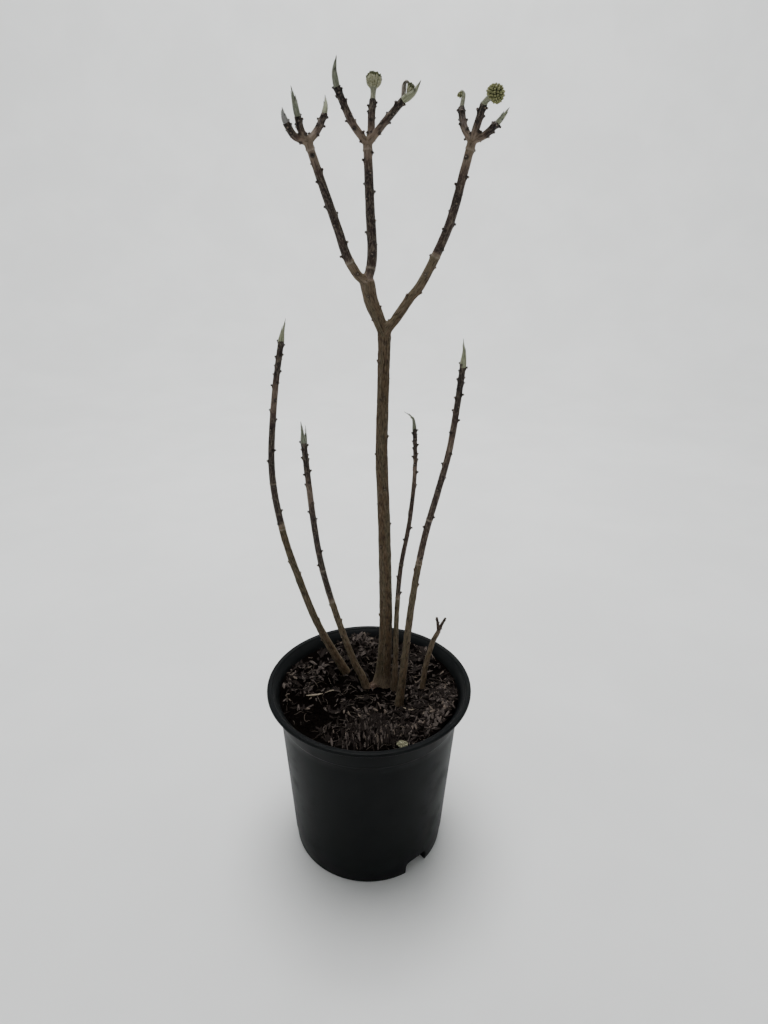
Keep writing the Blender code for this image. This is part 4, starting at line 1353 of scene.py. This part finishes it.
def silk_hairs(bud, rng):
    """Makers of fine hairs that lie along a bud and stand a little off it."""
    makers = []
    for _ in range(HAIRS_PER_BUD):
        share = rng.uniform(0.0, 0.8)
        angle = rng.uniform(0.0, math.tau)
        foot = bud.at(share, angle, 0.15)
        out = (foot - bud.at(share, angle, -1.0)).normalized()
        along = bud.route.along(bud.start + (bud.end - bud.start) * share)
        tip = foot + (along + out * rng.uniform(0.08, 0.4)).normalized() * rng.uniform(0.9, 1.8)
        makers.append(hair_spike(foot, tip))
    return makers


def hair_spike(foot, tip):
    """Maker of one hair, pointed at its tip."""
    def make(bm):
        way = tip - foot
        verts = bmesh.ops.create_cone(bm, cap_ends=True, segments=3, radius1=0.05, radius2=0.012,
                                      depth=way.length)["verts"]
        bmesh.ops.transform(bm, matrix=pointing((foot + tip) / 2, way), verts=verts)
    return make


def floret(foot, tip, radius, bow, rng):
    """A closed tube flower: slim at its foot and swollen towards its end."""
    stops = ((0.0, 0.35), (0.35, 0.5), (0.6, 0.72), (0.85, 0.95), (1.0, 0.6))
    route = Route((foot, (foot + tip) / 2 + bow, tip))
    spin = rng.uniform(0.0, math.tau)

    def make(bm):
        verts = bmesh.ops.create_uvsphere(bm, u_segments=8, v_segments=8, radius=1.0)["verts"]
        for vert in verts:
            share = (vert.co.z + 1.0) / 2
            flat = math.hypot(vert.co.x, vert.co.y)
            angle = math.atan2(vert.co.y, vert.co.x) + spin
            out = radius * between(stops, share) * min(flat * 1.6, 1.0)
            vert.co = frame_at(route, share * route.length) @ spoke(angle, out)
    return make


def floret_end(foot, tip, radius, long, rng):
    """The four closed lobes at the end of a tube flower."""
    way = (tip - foot).normalized()
    spin = rng.uniform(0.0, math.tau)

    def make(bm):
        verts = bmesh.ops.create_uvsphere(bm, u_segments=12, v_segments=7, radius=1.0)["verts"]
        for vert in verts:
            angle = math.atan2(vert.co.y, vert.co.x)
            lobe = 1.0 + 0.22 * math.cos(4 * angle + spin)
            vert.co.x *= radius * lobe
            vert.co.y *= radius * lobe
            vert.co.z *= radius * long
        middle = tip - way * radius * (long - 1.0) * 0.8
        bmesh.ops.transform(bm, matrix=pointing(middle, way), verts=verts)
    return make


def golden_cap(count, spread):
    """Directions spread evenly over a cap about Z, with the share of the way to its edge."""
    for number in range(count):
        share = (number + 0.5) / count
        polar = spread * math.sqrt(share)
        turn = number * GOLDEN_ANGLE
        yield share, Vector((math.sin(polar) * math.cos(turn), math.sin(polar) * math.sin(turn),
                             math.cos(polar)))


def rosette(centre, axis, radius, count, spread, fat, rng):
    """Ends of the florets of a ball: (foot, tip, radius, bow) of each."""
    turn_to = axis.to_track_quat("Z", "Y")
    middle = centre - axis * radius * 0.5
    for _, way in golden_cap(count, spread):
        tip = centre + turn_to @ way * radius * rng.uniform(0.95, 1.02)
        yield middle.lerp(tip, 0.3), tip, fat * rng.uniform(0.88, 1.1), Vector((0, 0, 0))


def goblet(foot, axis, height, width, count, fat, rng):
    """Ends of florets that fan out of one point into a flat-topped bowl."""
    turn_to = axis.to_track_quat("Z", "Y")
    for share, way in golden_cap(count, math.pi / 2):
        side = turn_to @ Vector((way.x, way.y, 0.0))
        out = side.normalized() * width * math.sqrt(share)
        top = height * (1.0 - 0.14 * share ** 1.5) * rng.uniform(0.90, 1.05)
        yield (foot + out * 0.18, foot + out + axis * top, fat * rng.uniform(0.88, 1.1),
               out * (0.14 + 0.08 * share))


def stalk(route, low, high):
    """Maker of a silky flower stalk with a waist, widening to its head."""
    def radius(distance):
        share = distance / route.length
        return (low + (high - low) * share ** 3) * (1.0 - 0.2 * math.sin(math.pi * share ** 0.8))

    def make(bm):
        tube(bm, route, radius, 0.0, route.length, 20, 0.6)
    return make


def heart(centre, radius):
    """Maker of the green heart under the florets of a ball."""
    def make(bm):
        bmesh.ops.create_icosphere(bm, subdivisions=3, radius=radius,
                                   matrix=Matrix.Translation(centre))
    return make


def build_buds(buds, tones):
    """The leaves of all buds, a piece for each tone, and their hairs."""
    rng = random.Random(SEEDS["buds"])
    leaves = {"green": [], "silver": [], "yellow": [], "brown": []}
    hairs = []
    for bud in buds:
        leaves[bud.tone] += wrapped_bud(bud, rng)
        hairs += silk_hairs(bud, rng)
    for tone, makers in leaves.items():
        piece = finished("bud_leaves_" + tone, gathered(makers, 12), tones["silk_" + tone], 60.0)
    finished("bud_hairs", gathered(hairs, 120), tones["hair"], 60.0)


def build_flowers(flowers, buds, tones):
    """Flower heads: stalks, and florets whose tubes and ends are pieces of their own tones."""
    rng = random.Random(SEEDS["flowers"])
    stalks, hearts = [], []
    florets = {"pale": [], "dark": []}
    for kind, root, place, size, along in flowers:
        axis = (place - root).normalized()
        if kind == "goblet":
            foot = place - axis * 6.6
            stalks.append(stalk(arched(root, foot + axis * 2.0, along), 2.5, 2.6))
            florets["pale"] += list(goblet(foot, axis, 11.2, 5.9, 50, 0.90, rng))
        elif kind == "rosette":
            stalks.append(stalk(arched(root, place - axis * 2.5, along), 2.4, 2.8))
            hearts.append(heart(place, size - 1.9))
            florets["dark"] += list(rosette(place, axis, size - 0.6, 88, math.radians(118.0),
                                            0.80, rng))
        elif kind == "nodding":
            hook = Route((root, place + Vector((2.0, -1.3, -2.8)), place + Vector((2.3, 0.0, 0.3)),
                          place + Vector((1.0, 0.6, 1.9)), place))
            stalks.append(stalk(hook, 1.9, size))
            hearts.append(heart(place, size))
            florets["dark"] += list(rosette(place, Vector((-0.6, -0.5, -0.6)).normalized(), 1.9, 22,
                                            math.radians(140.0), 0.5, rng))
        else:
            curl = Route((root, root + Vector((0.6, 1.1, 5.4)), root + Vector((0.8, 1.1, 10.0)),
                          root + Vector((2.6, 0.6, 12.3)), root + Vector((5.0, -0.4, 10.7))))
            horn = Route((root, root + Vector((7.8, -2.4, 5.1)), place))
            buds.append(Bud(horn, 0.0, horn.length, size, "yellow"))
            buds.append(Bud(curl, 0.0, curl.length, 1.5, "brown", CURL_SHAPE))
            stalks.append(stalk(Route((root, root + axis * 2.5, root + axis * 5.0)), 2.3, 3.2))
            florets["pale"] += list(goblet(root + Vector((3.4, -0.4, 3.6)),
                                           Vector((0.4, -0.14, 0.9)).normalized(), 7.4, 2.3, 16,
                                           0.78, rng))
    for tone, heads in florets.items():
        tubes = [floret(foot, tip, fat, bow, rng) for foot, tip, fat, bow in heads]
        ends = [floret_end(foot, tip, fat * 0.98, 2.6 if tone == "pale" else 1.25, rng)
                for foot, tip, fat, _ in heads]
        finished("floret_tubes_" + tone, gathered(tubes, 20), tones["tube_" + tone], 60.0)
        finished("floret_ends_" + tone, gathered(ends, 20), tones["end_" + tone], 60.0)
    finished("flower_stalks", gathered(stalks, 4), tones["stalk"], 60.0)
    finished("flower_hearts", gathered(hearts, 4), tones["end_pale"], 60.0)


# ---------------------------------------------------------------- set

def build_camera():
    data = bpy.data.cameras.new("camera")
    data.lens = FOCAL_LENGTH
    data.sensor_width = SENSOR
    data.shift_x, data.shift_y = SHIFT
    camera = placed("camera", data)
    camera.matrix_world = (Matrix.Translation(EYE)
                           @ Matrix.Rotation(math.radians(90.0 - LOOKING_DOWN), 4, "X")
                           @ Matrix.Rotation(math.radians(ROLL), 4, "Z"))
    bpy.context.scene.camera = camera


def build_floor():
    """A round pale floor that bends up into a wall on all sides, its faces turned inwards."""
    turns = [math.radians(step) for step in range(0, 91, 6)]
    line = [(FLOOR_FLAT + FLOOR_BEND * math.sin(turn), FLOOR_BEND * (1 - math.cos(turn)))
            for turn in turns]
    bm = turned([(0.0, 0.0), *line, (FLOOR_FLAT + FLOOR_BEND, WALL_TOP)], SET_SEGMENTS)
    bm.faces.ensure_lookup_table()
    if bm.faces[0].normal.z + bm.faces[1].normal.z < 0.0:
        bmesh.ops.reverse_faces(bm, faces=bm.faces)
    mesh = as_mesh("floor", bm)
    mesh.shade_smooth()
    mesh.materials.append(mottled("floor_paint", (0.78, 0.79, 0.785), (0.82, 0.83, 0.825), 0.004,
                                  0.85))
    floor = placed("floor", mesh)


def build_lights():
    """A dim even sky and broad soft lamps."""
    world = bpy.context.scene.world or bpy.data.worlds.new("world")
    bpy.context.scene.world = world
    world.use_nodes = True
    sky = world.node_tree.nodes["Background"]
    sky.inputs["Color"].default_value = SKY_COLOUR
    sky.inputs["Strength"].default_value = SKY_STRENGTH
    for name, (place, aim, size, power) in LAMPS.items():
        data = bpy.data.lights.new(name, "AREA")
        data.shape = "DISK"
        data.size = size
        data.energy = power
        lamp = placed(name, data)
        lamp.matrix_world = pointing(place, Vector(aim) - Vector(place), "-Z")


def make_tones():
    return {
        "pot": pot_plastic(),
        "crust": compost("compost_crust", (0.0016, 0.0010, 0.0008), (0.011, 0.007, 0.0055)),
        "grains": compost("compost_grains", (0.002, 0.0014, 0.0012), (0.013, 0.009, 0.007)),
        "soil": compost("compost_fill", (0.0016, 0.0010, 0.0008), (0.011, 0.007, 0.0055)),
        "bark_dark": bark_bits("bark_dark", (0.004, 0.003, 0.0026), (0.024, 0.017, 0.014)),
        "bark_mauve": bark_bits("bark_mauve", (0.018, 0.013, 0.011), (0.130, 0.108, 0.096)),
        "bark_tan": bark_bits("bark_tan", (0.045, 0.033, 0.025), (0.200, 0.165, 0.135)),
        "threads": mottled("root_threads", (0.040, 0.031, 0.024), (0.120, 0.098, 0.078)),
        "join": mottled("root_join", (0.030, 0.016, 0.010), (0.125, 0.078, 0.050)),
        "straw": mottled("straw", (0.16, 0.13, 0.09), (0.34, 0.29, 0.22)),
        "lichen": mottled("lichen", (0.035, 0.034, 0.020), (0.40, 0.39, 0.26), 1.6, 0.9),
        "bark": stem_bark(),
        "peg": mottled("scar_peg", (0.014, 0.010, 0.008), (0.065, 0.046, 0.036), 1.2, 0.7),
        "peg_old": mottled("scar_peg_old", (0.026, 0.018, 0.011), (0.085, 0.062, 0.040), 1.2, 0.75),
        "scar": mottled("scar_face", (0.075, 0.055, 0.042), (0.26, 0.21, 0.165), 1.6, 0.8),
        "silk_green": silk("silk_green", (0.075, 0.085, 0.050), (0.27, 0.28, 0.215)),
        "silk_silver": silk("silk_silver", (0.115, 0.110, 0.105), (0.36, 0.355, 0.34)),
        "silk_yellow": silk("silk_yellow", (0.130, 0.140, 0.075), (0.38, 0.39, 0.28)),
        "silk_brown": silk("silk_brown", (0.080, 0.065, 0.052), (0.30, 0.265, 0.225)),
        "hair": mottled("bud_hair", (0.32, 0.33, 0.28), (0.44, 0.44, 0.39), 0.8, 0.5),
        "tube_pale": mottled("floret_tube", (0.20, 0.20, 0.11), (0.44, 0.43, 0.30), 0.9, 0.55, 0.2),
        "end_pale": mottled("floret_end_green", (0.030, 0.036, 0.015), (0.14, 0.14, 0.07), 1.3),
        "tube_dark": mottled("floret_tube_green", (0.045, 0.052, 0.018), (0.14, 0.145, 0.060)),
        "end_dark": mottled("floret_end_yellow", (0.120, 0.124, 0.046), (0.34, 0.34, 0.17), 1.3),
        "stalk": mottled("flower_stalk", (0.13, 0.135, 0.085), (0.25, 0.25, 0.18), 0.9, 0.6, 0.3),
    }


def build():
    build_camera()
    build_floor()
    build_lights()
    tones = make_tones()
    build_pot(tones["pot"])
    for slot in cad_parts["soil"].material_slots:
        slot.material = tones["soil"]
    build_crust(tones["crust"])
    build_litter(tones)
    build_lichen(tones)
    limbs, buds, flowers = [], [], []
    boughs = build_frame(tones["bark"], limbs)
    build_shoots(tones["bark"], limbs, buds)
    build_stub(tones["bark"], limbs)
    build_heads(boughs, tones["bark"], limbs, buds, flowers)
    build_scars(limbs, tones)
    build_flowers(flowers, buds, tones)
    build_buds(buds, tones)


build()
